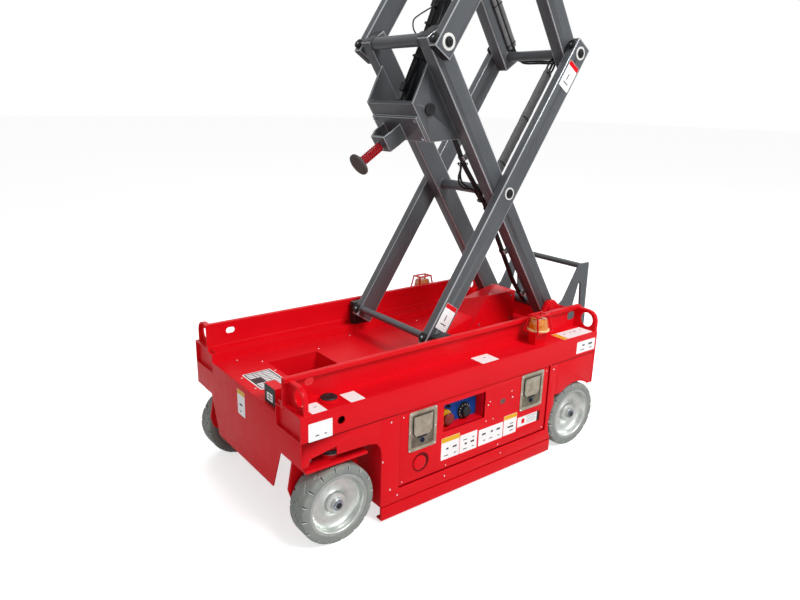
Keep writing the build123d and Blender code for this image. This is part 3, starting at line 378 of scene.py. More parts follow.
def button_screw(radius, height):
    """A domed screw head with a hexagon socket; both sizes in mm."""
    bm = bmesh.new()
    dome = ((1.25, 0), (1.25, 0.3), (1, 0.32), (0.95, 0.7), (0.7, 0.95), (0.5, 1))
    turned(bm, [(radius * out, height * up) for out, up in dome], Matrix.Identity(4), 18)
    top = max(bm.faces, key=lambda f: f.calc_center_median().z)
    bmesh.ops.inset_individual(bm, faces=[top], thickness=radius * 0.08 / 1000)
    bmesh.ops.translate(bm, vec=(0, 0, -height * 0.5 / 1000), verts=top.verts)
    return bm


panel_y = 0.559
side_screws = [((x, side * panel_y, z), (0, side, 0)) for side in (1, -1) for x, z in (
    (0.019, 0.438), (-0.16, 0.438), (-0.482, 0.52), (-0.482, 0.2), (0.645, 0.52), (0.645, 0.17),
    (0.69, 0.33), (-0.498, 0.12), (0.3, 0.125), (-0.1, 0.125), (0.6, 0.125))]
repeated("side_sheet_screws", button_screw(3.8, 1.8), side_screws, "chassis", bright_zinc, 1.0)

deck_top, ledge_top = 0.617, 0.675
deck_screws = [((x, y, deck_top), (0, 0, 1)) for x, y in (
    (0.9, -0.075), (0.9, 0.07), (1.08, -0.075), (1.08, 0.07), (0.56, -0.215), (0.56, 0.065),
    (0.9, -0.215), (0.3, 0.3), (0.3, -0.3), (1.0, 0.3), (1.0, -0.3), (-0.2, 0.3), (-0.2, -0.3))]
repeated("deck_screws", button_screw(4.5, 2.2), deck_screws, "chassis", bright_zinc, 1.0, 2)

tab = bmesh.new()
slab(tab, [(-0.013, 0.0), (0.013, 0.0), (0.011, 0.0045), (-0.011, 0.0045)], 0.0, 0.004, "xz")
for corner in tab.verts:
    corner.co.y *= 0.8
roll_edges(tab, 0.0012, 30.0, 1)
beads = []
for side in (1, -1):
    beads += [((-0.79 + i * 0.0635, side * 0.409, ledge_top), (0, 0, 1)) for i in range(30)]
    beads += [((-0.66 + i * 0.074, side * 0.3385, deck_top), (0, 0, 1)) for i in range(24)]
repeated("rail_weld_beads", tab, beads, "chassis", red_enamel)


# ---------- kingpin caps, washers and seals
# The kingpins end in black dust caps on painted flanges. Under each lug a zinc washer turns with the
# knuckle against a black rubber seal.
def moulded(name, first, second, rough, drift_mm, relief, **more):
    """Any material of two drifting tones with one roughness; relief is grain's size, strength and depth."""
    made, tree, where = surface(name)
    tone = two_tones(tree, where, drift_mm, first, second)
    return close(made, tone, rough, grain(tree, where, *relief), **more)


def matt_plastic(name, first, second, rough, size_mm=0.9, depth_mm=0.15):
    """Moulded plastic or rubber with a spark texture, drawn coarse enough to show, and a trace of dust."""
    return moulded(name, first, second, rough, 60, (size_mm, 0.3, depth_mm), Specular_IOR_Level=0.3)


# Zinc plate, dulled a little out of doors: a soft grey shine.
zinc_plate = metal("zinc_plate", "#b4b7bc", "#9298a2", 0.3)
# Black nylon: soft dark accents with no hard highlight.
black_nylon = matt_plastic("black_nylon", "#17181a", "#232427", 0.45)
kingpin_x, kingpin_y = 0.928, 0.476
for side, tag in ((1, "left"), (-1, "right")):
    lid, washer, seal = bmesh.new(), bmesh.new(), bmesh.new()
    top = Matrix.Translation((kingpin_x, side * kingpin_y, ledge_top))
    turned(lid, [(46, 0), (46, 4), (44, 6), (40, 6.5), (40, 13.5)], top, 48)
    turned(lid, [(38, 12.5), (38, 15.5), (35, 18.5), (12, 19.5), (10, 17.5)], top, 48, 1)
    finish("kingpin_cap_" + tag, lid, "chassis", [red_enamel, black_nylon])
    low = Matrix.Translation((kingpin_x, side * kingpin_y, 0.42))
    turned(washer, [(42.5, 12.5), (50, 12.5), (50.5, 13), (50.5, 14.3), (50, 14.8), (42.5, 14.8)],
           low, 48, 0, True)
    finish("kingpin_washer_" + tag, washer, tag + "_knuckle", [zinc_plate])
    turned(seal, [(46.5, 16), (50.5, 16), (51.5, 17.5), (51.5, 32), (50, 34), (46.5, 34)], low, 48, 0, True)
    finish("kingpin_seal_" + tag, seal, "chassis", [black_nylon])


# ---------- wheels
# Solid non-marking tyres are pressed on dished steel discs. Zigzag grooves cross the tread, and short
# notches cut its shoulders.
# Each wheel is held by a zinc castle nut with a black plastic tip over the spindle's end.
def satin_sheet(name, first, second, rough):
    """Printed or anodised sheet: almost flat, with a slight waviness in its gloss."""
    return moulded(name, first, second, rough, 90, (14, 0.05, 0.1), Specular_IOR_Level=0.25)


# Solid tyre rubber, dusty and quite matt.
grey_rubber = matt_plastic("grey_non_marking_rubber", "#858a88", "#93978f", 0.82, 1.6, 0.4)
# Silver paint, a touch rough, with a soft broad highlight in the dish.
silver_disc = metal("silver_painted_disc", "#c8ccc9", "#d8dbd7", 0.34, 3)
# The bead ring is moulded in a paler rubber: a light line between tyre and disc.
pale_ring = satin_sheet("pale_bead_ring", "#abaeab", "#9da09d", 0.5)
# Where a groove's wall meets the tread the rubber is painted paler: partly rubbed wear, partly painted highlight.
rubbed_and_highlit_rubber = matt_plastic("groove_wall_rubbed_and_highlit", "#b4b9b5", "#c2c6c2", 0.85, 1.6, 0.3)
# Grit and painted shade darken the grooves' floors.
grit_and_shade_rubber = matt_plastic("groove_floor_grit_and_painted_shade", "#4c4f4e", "#575a58", 0.9, 1.2, 0.4)

tyre_section = [
    # distance out from the middle, radius
    (-0.053, 0.1442), (-0.056, 0.1475), (-0.0572, 0.15), (-0.0572, 0.156), (-0.0588, 0.1575), (-0.0588, 0.17),
    (-0.0583, 0.178), (-0.0572, 0.183), (-0.055, 0.1866), (-0.0515, 0.1889), (-0.0475, 0.1899),
]
tyre_section += [(-0.0435 + 0.0029 * i, 0.1903 if i == 0 else 0.1905) for i in range(16)]
tyre_section = tyre_section[:-1] + [(-out, radius) for out, radius in reversed(tyre_section)]
pitches = 16
steps_per_pitch = 24


def groove_depth(out, radius, turn):
    """How deep the tread is cut at one place: zigzag grooves over the tread, short notches in the shoulders."""
    if abs(out) > 0.04:
        notch = abs((turn % 1.0) - (0.25 if out > 0 else 0.75))
        return 0.006 if notch < 0.065 and radius > 0.177 else 0.0
    fold = abs(((out / 0.029) % 2.0) - 1.0)
    across = abs(((turn + 0.55 * fold) % 1.0) - 0.5)
    return 0.0055 * min(1.0, max(0.0, (0.105 - across) / 0.045))


def tyre(name, body, node, place):
    """One solid tyre as a closed ring of tread blocks."""
    bm = bmesh.new()
    rings = []
    count = pitches * steps_per_pitch
    for i in range(count):
        turn = i / steps_per_pitch
        angle = 2 * math.pi * i / count
        ring = []
        for out, radius in tyre_section:
            cut = groove_depth(out, radius, turn)
            inward = min(1.0, max(0.0, (abs(out) - 0.045) / 0.012))
            depth = radius - cut * (1 - 0.6 * inward)
            width = out - math.copysign(cut * 0.5 * inward, out)
            ring.append(bm.verts.new(place @ Vector((depth * math.cos(angle), depth * math.sin(angle), width))))
        rings.append(ring)
    # Groove floors take the paint of grit and painted shade, groove walls the paler paint of wear and painted
    # highlight.
    for k, (ring, after) in enumerate(zip(rings, rings[1:] + rings[:1])):
        for i, corner in enumerate(ring):
            j = (i + 1) % len(ring)
            out, radius = tyre_section[i]
            cuts = [groove_depth(out, radius, (k + step) / steps_per_pitch) for step in (0, 1)]
            face = bm.faces.new((corner, after[i], after[j], ring[j]))
            face.material_index = 2 if min(cuts) > 0.004 else 1 if max(cuts) > 0.002 else 0
    finish(name, bm, body, [grey_rubber, rubbed_and_highlit_rubber, grit_and_shade_rubber], 32.0, node=node)


def disc_wheel(name, body, node, place):
    """One dished disc with its rolled lip, bead ring and stepped hub."""
    bm = bmesh.new()
    turned(bm, [(20.2, -39), (60, -39), (64, -10), (120, -1), (131, -6), (131, -52), (143.8, -54), (143.8, 53.8),
                (142, 55.2), (137, 55.5), (135.2, 53.5), (133.5, 50), (131.5, 34), (128, 23), (122, 15),
                (113, 9.5), (101, 6), (86, 4.5), (72, 6), (64, 9), (56, 13), (52, 16.5), (49, 32), (48, 33.5),
                (34, 35), (32, 36.2), (30, 49.5), (28.5, 50.8), (20.2, 50.8)], place, 72, 0, True)
    turned(bm, [(136, 55.3), (136.4, 57.4), (138, 58.1), (148.6, 58.1), (150.2, 57), (150, 55.2)],
           place, 72, 1, True)
    finish(name, bm, body, [silver_disc, pale_ring], 28.0, node=node)


def moved(bm, first, matrix):
    """Moves the points that were made after the first ones."""
    bm.verts.ensure_lookup_table()
    bmesh.ops.transform(bm, matrix=matrix, verts=bm.verts[first:])


def hexagon(radius):
    """The six corners of a hexagon."""
    return [(radius * math.cos(math.radians(60 * i)), radius * math.sin(math.radians(60 * i))) for i in range(6)]


def castle_nut(name, body, place):
    """A slotted hexagon nut on its washer, and the black tip over the spindle."""
    bm = bmesh.new()
    turned(bm, [(27.5, 50.9), (27.5, 52), (26.5, 52.4)], place, 36)
    first = len(bm.verts)
    slab(bm, hexagon(0.0255), 0.052, 0.0562)
    for i in range(6):
        angle = math.radians(60 * i + 30)
        wedge = [(r * math.cos(angle + t), r * math.sin(angle + t))
                 for r, t in ((0.0205, -0.36), (0.0205, 0.36), (0.015, 0.36), (0.015, -0.36))]
        slab(bm, wedge, 0.0561, 0.0592)
    moved(bm, first, place)
    turned(bm, [(14, 55.5), (14, 59.6), (12.8, 60.6), (0, 60.8)], place, 28, 1)
    finish(name, bm, body, [zinc_plate, black_nylon], 30.0)


def towards(place, way):
    """A frame at a place whose Z points the given way."""
    turn = Vector(way).to_track_quat("Z", "Y").to_matrix().to_4x4()
    return Matrix.Translation(place) @ turn


wheel_y, wheel_z, rear_axle_x = 0.5, 0.1905, -0.685
for tag, x, side, hub in (("front_left", kingpin_x, 1, "left_knuckle"),
                          ("front_right", kingpin_x, -1, "right_knuckle"),
                          ("rear_left", rear_axle_x, 1, "chassis"), ("rear_right", rear_axle_x, -1, "chassis")):
    wheel = "wheel_" + "".join(word[0] for word in tag.split("_"))
    place = towards((x, side * wheel_y, wheel_z), (0, side, 0))
    tyre("tread_" + tag, wheel, "tyre_" + tag, place)
    disc_wheel("disc_" + tag, wheel, "rim_" + tag, place)
    castle_nut("castle_nut_" + tag, hub, place)


# ---------- steering
# A flat track rod of zinc-plated steel joins the knuckles and is held by a nut on each.
# The steering ram's rod is ground and chromed.
def hex_bolt(across, height):
    """A hexagon bolt head with a chamfered top, on its washer; both sizes in mm."""
    bm = bmesh.new()
    turned(bm, [(across, 0), (across, height * 0.22), (across * 0.9, height * 0.26)], Matrix.Identity(4), 24)
    across, height = across / 1000, height / 1000
    slab(bm, hexagon(across / math.sqrt(3)), height * 0.2, height)
    crown = [e for e in bm.edges if all(abs(v.co.z - height) < 1e-6 for v in e.verts)]
    bmesh.ops.bevel(bm, geom=crown, offset=across * 0.06, segments=1, affect="EDGES")
    return bm


# Ground chrome, almost a mirror.
chrome = metal("ground_chrome", "#d9dce0", "#cfd3d8", 0.12)
softened("tie_rod", "tie_bar", zinc_plate, 0.001)
softened("steer_rod", "steer_ram", chrome, 0.001)
for side, tag in ((1, "left"), (-1, "right")):
    repeated("track_rod_nut_" + tag, hex_bolt(13, 6), [((1.038, side * kingpin_y, 0.44), (0, 0, 1))],
             tag + "_knuckle", zinc_plate)


# ---------- side box doors
# Each door carries two sprung paddle latches in pressed stainless pans, riveted at the corners.
# The left one also has the window of the ground controls and a small label window.
def brushed(name, first, second, rough):
    """Brushed sheet: streaks run up and down, drawn 0.6 mm wide and 25 mm long so that they show."""
    made, tree, where = surface(name)
    across, along = 1000 / 0.625, 1000 / 25
    lines = add(tree, "ShaderNodeMapping", {"vector_type": "POINT"}, Vector=where, Scale=(across, across, along))
    streak = add(tree, "ShaderNodeTexNoise", Vector=lines.outputs[0], Scale=1.0, Detail=3.0)
    tone = two_tones(tree, where, 45, first, second)
    sheen = spread(tree, streak, rough - 0.1, rough + 0.12)
    fine = add(tree, "ShaderNodeBump", Strength=0.12, Distance=0.0001, Height=streak.outputs[0])
    return close(made, tone, sheen, fine, Metallic=1.0)


# Brushed stainless: soft vertical streaks and a warm reflection.
stainless = brushed("brushed_stainless", "#a59c8a", "#c2bbaa", 0.28)
# Key barrels are blued: a dark dot under each paddle.
blued_steel = metal("blued_steel", "#26344f", "#1c2536", 0.25)
# The pan behind each paddle is never polished; its darker colour is partly dirt, partly painted shade.
dull_shaded_pan = brushed("dull_stainless_pan_in_painted_shade", "#6d675b", "#8d8677", 0.36)


def rounded(x0, x1, z0, z1, radius, steps=5):
    """The outline of a rectangle with round corners."""
    corners = ((x1 - radius, z1 - radius, 0), (x0 + radius, z1 - radius, 90),
               (x0 + radius, z0 + radius, 180), (x1 - radius, z0 + radius, 270))
    outline = []
    for x, z, start in corners:
        for i in range(steps + 1):
            angle = math.radians(start + 90 * i / steps)
            outline.append((x + radius * math.cos(angle), z + radius * math.sin(angle)))
    return outline


def ring_of(bm, outer, inner, low, high, plane, paint=0):
    """A flat frame between two outlines of the same number of points."""
    sides = ((outer, low), (outer, high), (inner, high), (inner, low))
    skin(bm, [[bm.verts.new(planes[plane](a, b, c)) for a, b in line] for line, c in sides], True, paint)


def paddle_latch(bm, x0, x1, z0, z1, face, side):
    """A pressed pan with a rolled rim, the paddle in it, and the key barrel under the paddle."""
    def y(out):
        return side * (face + out)

    rim, lip, wall = (rounded(x0 + d, x1 - d, z0 + d, z1 - d, radius)
                      for d, radius in ((0, 0.014), (0.011, 0.016), (0.017, 0.013)))
    ring_of(bm, rim, lip, y(0.0), y(0.0035), "xz")
    steps = ((lip, 0.0035), (lip, 0.0045), (wall, 0.003), (wall, 0.0006))
    rows = [[bm.verts.new((a, y(out), b)) for a, b in line] for line, out in steps]
    skin(bm, rows)
    # The pan's floor takes the darker paint of dirt and painted shade.
    cap(bm, rows[-1], 2)
    height = z1 - z0
    paddle = [(x0 + 0.03, z1 - 0.03), (x1 - 0.03, z1 - 0.03), (x1 - 0.03, z0 + height * 0.46),
              (x1 - 0.044, z0 + height * 0.36), (x0 + 0.044, z0 + height * 0.36), (x0 + 0.03, z0 + height * 0.46)]
    # A black outline a little larger than the paddle is painted shadow round its edge.
    edge = 0.0028
    shadow = [(a + math.copysign(edge, a - (x0 + x1) / 2), b + math.copysign(edge, b - (z0 + height * 0.65)))
              for a, b in paddle]
    slab(bm, shadow, y(0.0004), y(0.0016), "xz", 1)
    slab(bm, paddle, y(0.0022), y(0.0052), "xz")
    slab(bm, [(x0 + 0.036, z1 - 0.037), (x1 - 0.036, z1 - 0.037), (x1 - 0.036, z0 + height * 0.5),
              (x0 + 0.036, z0 + height * 0.5)], y(0.005), y(0.006), "xz")
    middle = (x0 + x1) / 2
    turned(bm, [(13, 0), (13, 3), (11.5, 4.2), (8, 4.2), (8, 3)],
           towards((middle, y(0.0006), z0 + height * 0.22), (0, side, 0)), 24, 3)
    low, high = z0 + height * 0.22 - 0.001, z0 + height * 0.22 + 0.001
    slab(bm, [(middle - 0.0045, low), (middle + 0.0045, low), (middle + 0.0045, high), (middle - 0.0045, high)],
         y(0.003), y(0.0044), "xz", 1)
    slab(bm, [(middle - 0.03, z0 + height * 0.3), (middle + 0.03, z0 + height * 0.3),
              (middle + 0.024, z0 + height * 0.345), (middle - 0.024, z0 + height * 0.345)],
         y(0.001), y(0.003), "xz", 1)


door_y = 0.553
latch_places = ((0.365, 0.538, 0.325, 0.534), (-0.405, -0.228, 0.33, 0.54))
for side, tag in ((1, "left"), (-1, "right")):
    pans = bmesh.new()
    rivets = []
    for x0, x1, z0, z1 in latch_places:
        paddle_latch(pans, x0, x1, z0, z1, door_y + 0.0002, side)
        rivets += [((x, side * (door_y + 0.0036), z), (0, side, 0))
                   for x in (x0 + 0.008, x1 - 0.008) for z in (z0 + 0.008, (z0 + z1) / 2, z1 - 0.008)]
    finish("paddle_latches_" + tag, pans, tag + "_door", [stainless, black_nylon, dull_shaded_pan, blued_steel],
           30.0, node="door_latches_" + tag)
    repeated("latch_rivets_" + tag, button_screw(3.8, 1.6), rivets, tag + "_door", bright_zinc,
             1.0, 4)
    door_screws = [((x, side * door_y, z), (0, side, 0)) for x, z in (
        (0.02, 0.345), (-0.03, 0.345), (0.0, 0.45), (-0.16, 0.47), (0.57, 0.52), (0.57, 0.18),
        (-0.43, 0.52), (-0.43, 0.18), (0.29, 0.18), (-0.08, 0.18))]
    repeated("door_screws_" + tag, button_screw(3.2, 1.4), door_screws, tag + "_door", bright_zinc,
             1.0, 5)


# ---------- ground controls
# Behind the left door's window: a blue steel panel in a red niche, with a stop button on its yellow
# disc, a large rotary dial with plain marks, and small knobs.
def block(bm, x0, x1, y0, y1, z0, z1, paint=0):
    """A straight block."""
    slab(bm, [(x0, y0), (x1, y0), (x1, y1), (x0, y1)], z0, z1, "xy", paint)


# Sprayed satin enamel: a cool blue field in the red niche.
blue_panel = enamel("blue_satin_enamel", "#12459c", "#1a55b4", 0.38)
# The stop buttons are moulded in red plastic that has gone dull.
stop_red = satin_sheet("stop_button_red", "#7c2420", "#8a2c26", 0.35)
# Printed white ink: thin marks with no gloss.
white_ink = satin_sheet("white_ink", "#e6e6e6", "#dcdcdc", 0.5)
# Blank vinyl and print: the clean white, yellow, grey and black patches that break up the paint.
white_vinyl = satin_sheet("white_vinyl", "#f8f8f8", "#fefefe", 0.4)
yellow_vinyl = satin_sheet("yellow_vinyl", "#f0b81c", "#eab010", 0.35)
grey_print = satin_sheet("grey_print", "#8d9196", "#7c8085", 0.4)
black_plate = satin_sheet("black_plate", "#1c1d1f", "#26272a", 0.35)
panel = bmesh.new()
slab(panel, rounded(0.034, 0.318, 0.368, 0.515, 0.004), 0.48, 0.483, "xz")
slab(panel, rounded(0.066, 0.17, 0.372, 0.45, 0.008), 0.4829, 0.485, "xz")
finish("ground_control_panel", panel, "chassis", [blue_panel], 30.0, node="control_panel")

niche = bmesh.new()
ring_of(niche, rounded(0.0325, 0.3195, 0.3665, 0.5165, 0.004), rounded(0.0345, 0.3175, 0.3685, 0.5145, 0.003),
        0.4805, 0.54, "xz")
finish("control_niche", niche, "chassis", [red_enamel])

controls = bmesh.new()


def on_panel(x, z):
    """A frame on the panel's face, Z outwards."""
    return towards((x, 0.483, z), (0, 1, 0))


dial_x, dial_z = 0.122, 0.41
turned(controls, [(44, 0), (44, 3), (43, 4), (40, 4.2), (40, 10), (38.5, 11.5), (29, 12), (27, 30), (25, 32.5),
                  (0, 33)], on_panel(dial_x, dial_z), 48)
for i in range(11):
    angle = math.radians(-140 + 28 * i)
    spot = on_panel(dial_x + 0.0345 * math.sin(angle), dial_z + 0.0345 * math.cos(angle))
    first = len(controls.verts)
    block(controls, -0.0013, 0.0013, -0.0036, 0.0036, 0.0112, 0.0124, 3)
    moved(controls, first, spot @ Matrix.Rotation(angle, 4, "Z"))
turned(controls, [(40, 0), (40, 16), (38, 18), (14, 18)], on_panel(0.257, 0.412), 40, 1)
turned(controls, [(15, 17), (15, 33), (29, 36), (31.5, 40), (31, 46), (25, 52), (14, 55),
                  (0, 55.5)], on_panel(0.257, 0.412), 40, 2)
for x, z in ((0.29, 0.49), (0.23, 0.462), (0.196, 0.492), (0.136, 0.484), (0.105, 0.492), (0.196, 0.392),
             (0.055, 0.48)):
    turned(controls, [(10, 0), (10, 3), (8.5, 4), (6, 4.2), (5.5, 16), (3.5, 19), (0, 19.5)], on_panel(x, z), 24)
finish("ground_control_knobs", controls, "chassis", [black_nylon, yellow_vinyl, stop_red, white_ink],
       30.0, node="control_knobs")

button = bmesh.new()
rim_place = towards((0.457, door_y + 0.0001, 0.253), (0, 1, 0))
turned(button, [(54, 0), (54, 1.4), (52.5, 2.2), (50.5, 1.4), (50.5, 0.3)], rim_place, 56, 0, True)
turned(button, [(53.5, 0), (53.5, 0.6), (32.5, 0.6), (32.5, 0)], rim_place, 56, 1, True)
turned(button, [(38.5, 0), (38.5, 2.8), (36.7, 4.6), (30, 6.2), (19, 7.2), (0, 7.6)],
       towards((0.464, door_y + 0.0001, 0.251), (0, 1, 0)), 56)
# The recess round the button is deep, so its floor is the same paint in shade.
shaded_red = enamel("shaded_red_enamel", "#5c0509", "#6a080d", 0.5)
finish("door_push_button", button, "left_door", [red_enamel, shaded_red], 50.0)

# The small square pane is smoked plastic over a lamp.
smoked_window = satin_sheet("smoked_window", "#5a4a46", "#6b5c57", 0.25)
windows = bmesh.new()
slab(windows, rounded(-0.386, -0.227, 0.23, 0.29, 0.003), 0.5465, 0.548, "xz")
slab(windows, rounded(-0.403, -0.386, 0.23, 0.29, 0.002), 0.5465, 0.548, "xz", 3)
for z in (0.242, 0.251, 0.26, 0.269, 0.278):
    slab(windows, [(-0.38, z), (-0.3, z), (-0.3, z + 0.0022), (-0.38, z + 0.0022)], 0.5479, 0.5483, "xz", 1)
slab(windows, rounded(-0.286, -0.262, 0.246, 0.274, 0.006), 0.5479, 0.5484, "xz", 2)
slab(windows, rounded(-0.116, -0.072, 0.41, 0.446, 0.003), 0.5531, 0.554, "xz", 2)
slab(windows, rounded(-0.111, -0.077, 0.415, 0.441, 0.002), 0.554, 0.5543, "xz", 4)
finish("door_label_window", windows, "left_door",
       [white_vinyl, grey_print, red_enamel, black_plate, smoked_window])


# ---------- power units inside the side boxes
# Left: a steel oil tank with its filler and a motor pump with its valve block.
# Right: four traction batteries in ribbed cases, with caps, posts and bus bars.
unit = bmesh.new()
slab(unit, rounded(-0.43, -0.06, 0.275, 0.48, 0.018), 0.096, 0.405)
slab(unit, rounded(-0.425, -0.065, 0.28, 0.475, 0.016), 0.405, 0.411)
turned(unit, [(26, 411), (26, 413.5), (22, 414), (22, 418.5), (19, 420), (0, 420)],
       Matrix.Translation((-0.37, 0.43, 0)), 28, 1)
for x in (-0.34, -0.245, -0.15):
    slab(unit, rounded(x - 0.01, x + 0.01, 0.13, 0.38, 0.008), 0.4795, 0.48, "xz")
turned(unit, [(20, 0), (20, 4), (14, 5), (14, 2)], towards((-0.1, 0.4762, 0.2), (0, 1, 0)), 24, 1)
block(unit, 0.06, 0.15, 0.29, 0.425, 0.13, 0.325, 2)
for z in (0.165, 0.215, 0.265):
    turned(unit, [(16, 0), (16, 3), (11, 3.5), (11, 4.8)], towards((0.105, 0.425, z), (0, 1, 0)), 6, 2)
motor_axis = Matrix.Translation((0.0, 0.352, 0.205)) @ Matrix.Rotation(math.pi / 2, 4, "Y")
turned(unit, [(40, 150), (62, 156), (62, 235), (70, 238), (70, 250), (80, 252), (80, 475), (74, 492), (50, 500),
              (0, 500)], motor_axis, 40, 1)
block(unit, 0.2, 0.48, 0.3, 0.404, 0.097, 0.132, 1)
block(unit, 0.515, 0.56, 0.285, 0.425, 0.1, 0.3, 1)
# Dark grey paint with a slight texture, so the tank stays quiet behind its door.
tank_paint = matt_plastic("oil_tank_paint", "#3b3f45", "#454a50", 0.4)
# Bare aluminium: a pale block beside the black motor.
valve_alloy = metal("valve_block_alloy", "#9aa0a6", "#868c92", 0.4)
finish("oil_tank_and_pump", unit, "chassis", [tank_paint, black_nylon, valve_alloy], 30.0,
       node="hydraulic_unit")

# Moulded polypropylene: almost black, with a soft sheen.
battery_case = matt_plastic("battery_case_plastic", "#20242a", "#2a2e34", 0.5)
cells = bmesh.new()
for i in range(4):
    x0 = -0.42 + i * 0.2455
    x1 = x0 + 0.2405
    slab(cells, rounded(x0, x1, -0.478, -0.272, 0.008), 0.096, 0.335)
    slab(cells, rounded(x0 + 0.0008, x1 - 0.0008, -0.4795, -0.2705, 0.009), 0.335, 0.368)
    for k in range(9):
        x = x0 + 0.016 + k * 0.026
        block(cells, x - 0.003, x + 0.003, -0.4798, -0.478, 0.115, 0.325, 0)
    for k in range(3):
        turned(cells, [(17, 368), (17, 374), (13, 376), (0, 376)],
               Matrix.Translation((x0 + 0.055 + k * 0.065, -0.375, 0)), 20, 1)
    for x in (x0 + 0.028, x1 - 0.028):
        turned(cells, [(9, 368), (8, 384), (0, 385)], Matrix.Translation((x, -0.44, 0)), 16, 2)
    if i < 3:
        block(cells, x1 - 0.034, x1 + 0.039, -0.448, -0.432, 0.376, 0.38, 2)
# Cast lead, dull grey and hardly shiny.
lead_post = metal("lead_post", "#8d8f94", "#7a7c80", 0.5)
finish("traction_batteries", cells, "chassis", [battery_case, yellow_vinyl, lead_post], 30.0,
       node="battery_pack")


# ---------- deck fittings
# On the deck: the tilt sensor's red box with its black plug, a data plate with blank white fields,
# and the screws of the sheet cover over the hoses at the back.
sensor = bmesh.new()
slab(sensor, rounded(1.0495, 1.1025, 0.213, 0.311, 0.004, 3), deck_top, 0.7)
slab(sensor, rounded(1.049, 1.103, 0.212, 0.312, 0.005, 3), 0.7, 0.7055)
slab(sensor, rounded(0.213, 0.311, 0.619, 0.7045, 0.006, 3), 1.102, 1.104, "yz", 1)
slab(sensor, rounded(0.236, 0.29, 0.634, 0.672, 0.004, 2), 1.1039, 1.1042, "yz", 2)
for i in range(2):
    block(sensor, 1.1041, 1.1044, 0.24, 0.286, 0.644 + 0.013 * i, 0.648 + 0.013 * i, 1)
block(sensor, 1.1041, 1.1044, 0.261, 0.265, 0.637, 0.669, 1)
finish("tilt_sensor_box", sensor, "chassis", [red_enamel, black_nylon, white_vinyl], 35.0,
       node="sensor_box")

data_plate = bmesh.new()
slab(data_plate, rounded(0.915, 1.066, -0.106, 0.1, 0.006), 0.6171, 0.6186)
slab(data_plate, rounded(0.921, 1.06, -0.1, 0.094, 0.003), 0.6185, 0.6189, "xy", 1)
for i in range(9):
    y = -0.092 + i * 0.0203
    for x, width in ((0.928, 0.04), (0.971, 0.028), (1.002, 0.016), (1.021, 0.033)):
        if x < 1.0 or i not in (3, 4, 5):
            block(data_plate, x, x + width, y, y + 0.016, 0.6188, 0.619, 3)
finish("data_plate", data_plate, "chassis", [white_vinyl, black_plate, grey_print, white_ink],
       30.0)

cover_screws = [((x, y, 0.8205), (0, 0, 1)) for x, y in ((-0.66, -0.12), (-0.66, 0.02), (-0.5, 0.02))]
cover_screws += [((x, 0.0455, z), (0, 1, 0)) for x, z in ((-0.66, 0.65), (-0.66, 0.79), (-0.4, 0.65))]
repeated("cover_screws", button_screw(6, 2), cover_screws, "chassis", zinc_plate, 1.0, 6)


# ---------- flashing lamps
# One on each ledge: a ribbed amber lens on a pale flange, under a cage of welded bars.
# The lens is tinted acrylic, bright where light comes through it.
amber_acrylic = moulded("amber_acrylic", "#dd7a0a", "#f2961e", 0.12, 30, (3, 0.05, 0.1), IOR=1.49, Coat_Weight=1.0,
                        Subsurface_Weight=0.2, Subsurface_Scale=0.01, Transmission_Weight=0.15)
# The flange under each lens is moulded in a paler, frosted grade.
frosted_amber = matt_plastic("frosted_amber", "#f0cf92", "#f6deaa", 0.4, 3.0, 0.1)
lenses = bmesh.new()
for side in (1, -1):
    place = Matrix.Translation((-0.398, side * 0.494, 0))
    turned(lenses, [(59, 750.2), (59.6, 751.5), (59.6, 757), (57.5, 759.6), (53, 759.9)], place, 64, 1)
    turned(lenses, [(53.2, 759.8), (52.9, 764), (50, 785), (50.8, 786), (50.5, 788.5), (49, 789.2), (45.5, 806),
                    (42.5, 812.5), (35, 815.2), (18, 815.8), (0, 815.9)], place, 64)
finish("amber_lenses", lenses, "chassis", [amber_acrylic, frosted_amber], 35.0, node="beacons")


# ---------- scissor arms
# Rectangular steel tube, closed by end plugs and joined by welded cross tubes; three levels.
# The grey powder coat has a coarse sparkle, and every weld stands out as a low rippled bead.
def powder(name, first, second, rough):
    """Textured powder coat: sparkle of 2 mm, and tone drifting slightly along the tube.

    Its wrinkles are drawn at 3 mm, coarser than on a real coat, so that they show.
    """
    made, tree, where = surface(name)
    tone = two_tones(tree, where, 320, first, second)
    spark = add(tree, "ShaderNodeTexNoise", Vector=where, Scale=520.0, Detail=2.0)
    lift = spread(tree, spark, 0.75, 1.3, From_Min=0.3, From_Max=0.75)
    mixed = add(tree, "ShaderNodeVectorMath", {"operation": "SCALE"}, i0=tone, Scale=lift)
    sheen = spread(tree, spark, rough - 0.1, rough + 0.08)
    return close(made, mixed.outputs[0], sheen, grain(tree, where, 3.2, 0.35, 0.6), Metallic=0.2,
                 Specular_IOR_Level=0.4)


# Grey powder coat: a dark, sparkling skin on the arms' flat sides.
grey_powder = powder("grey_powder_coat", "#53565a", "#5b5e62", 0.42)
# The coat flows smooth over the tubes' rolled corners, and these are painted a much lighter grey: a painted highlight
# along every edge.
corner_highlight_powder = powder("powder_with_painted_corner_highlight", "#aaaeb2", "#b6babe", 0.2)
rise_angle = math.radians(56.7)
arm_span = 1.704
rear_x, first_pivot_z = -0.745, 0.76
front_x = rear_x + arm_span * math.cos(rise_angle)
level_height = arm_span * math.sin(rise_angle)
inner_near, inner_far = 0.187, 0.262
outer_near, outer_far = 0.272, 0.322


def inner_axes(level):
    """The inner pair's own frame: X up along the arm from its rear foot."""
    foot = Matrix.Translation((rear_x, 0, first_pivot_z + level * level_height))
    return foot @ Matrix.Rotation(-rise_angle, 4, "Y")


def outer_axes(level):
    """The outer pair's own frame: X up along the arm from its front foot, Z to its underside."""
    foot = Matrix.Translation((front_x, 0, first_pivot_z + level * level_height))
    return foot @ Matrix.Rotation(rise_angle - math.pi, 4, "Y")


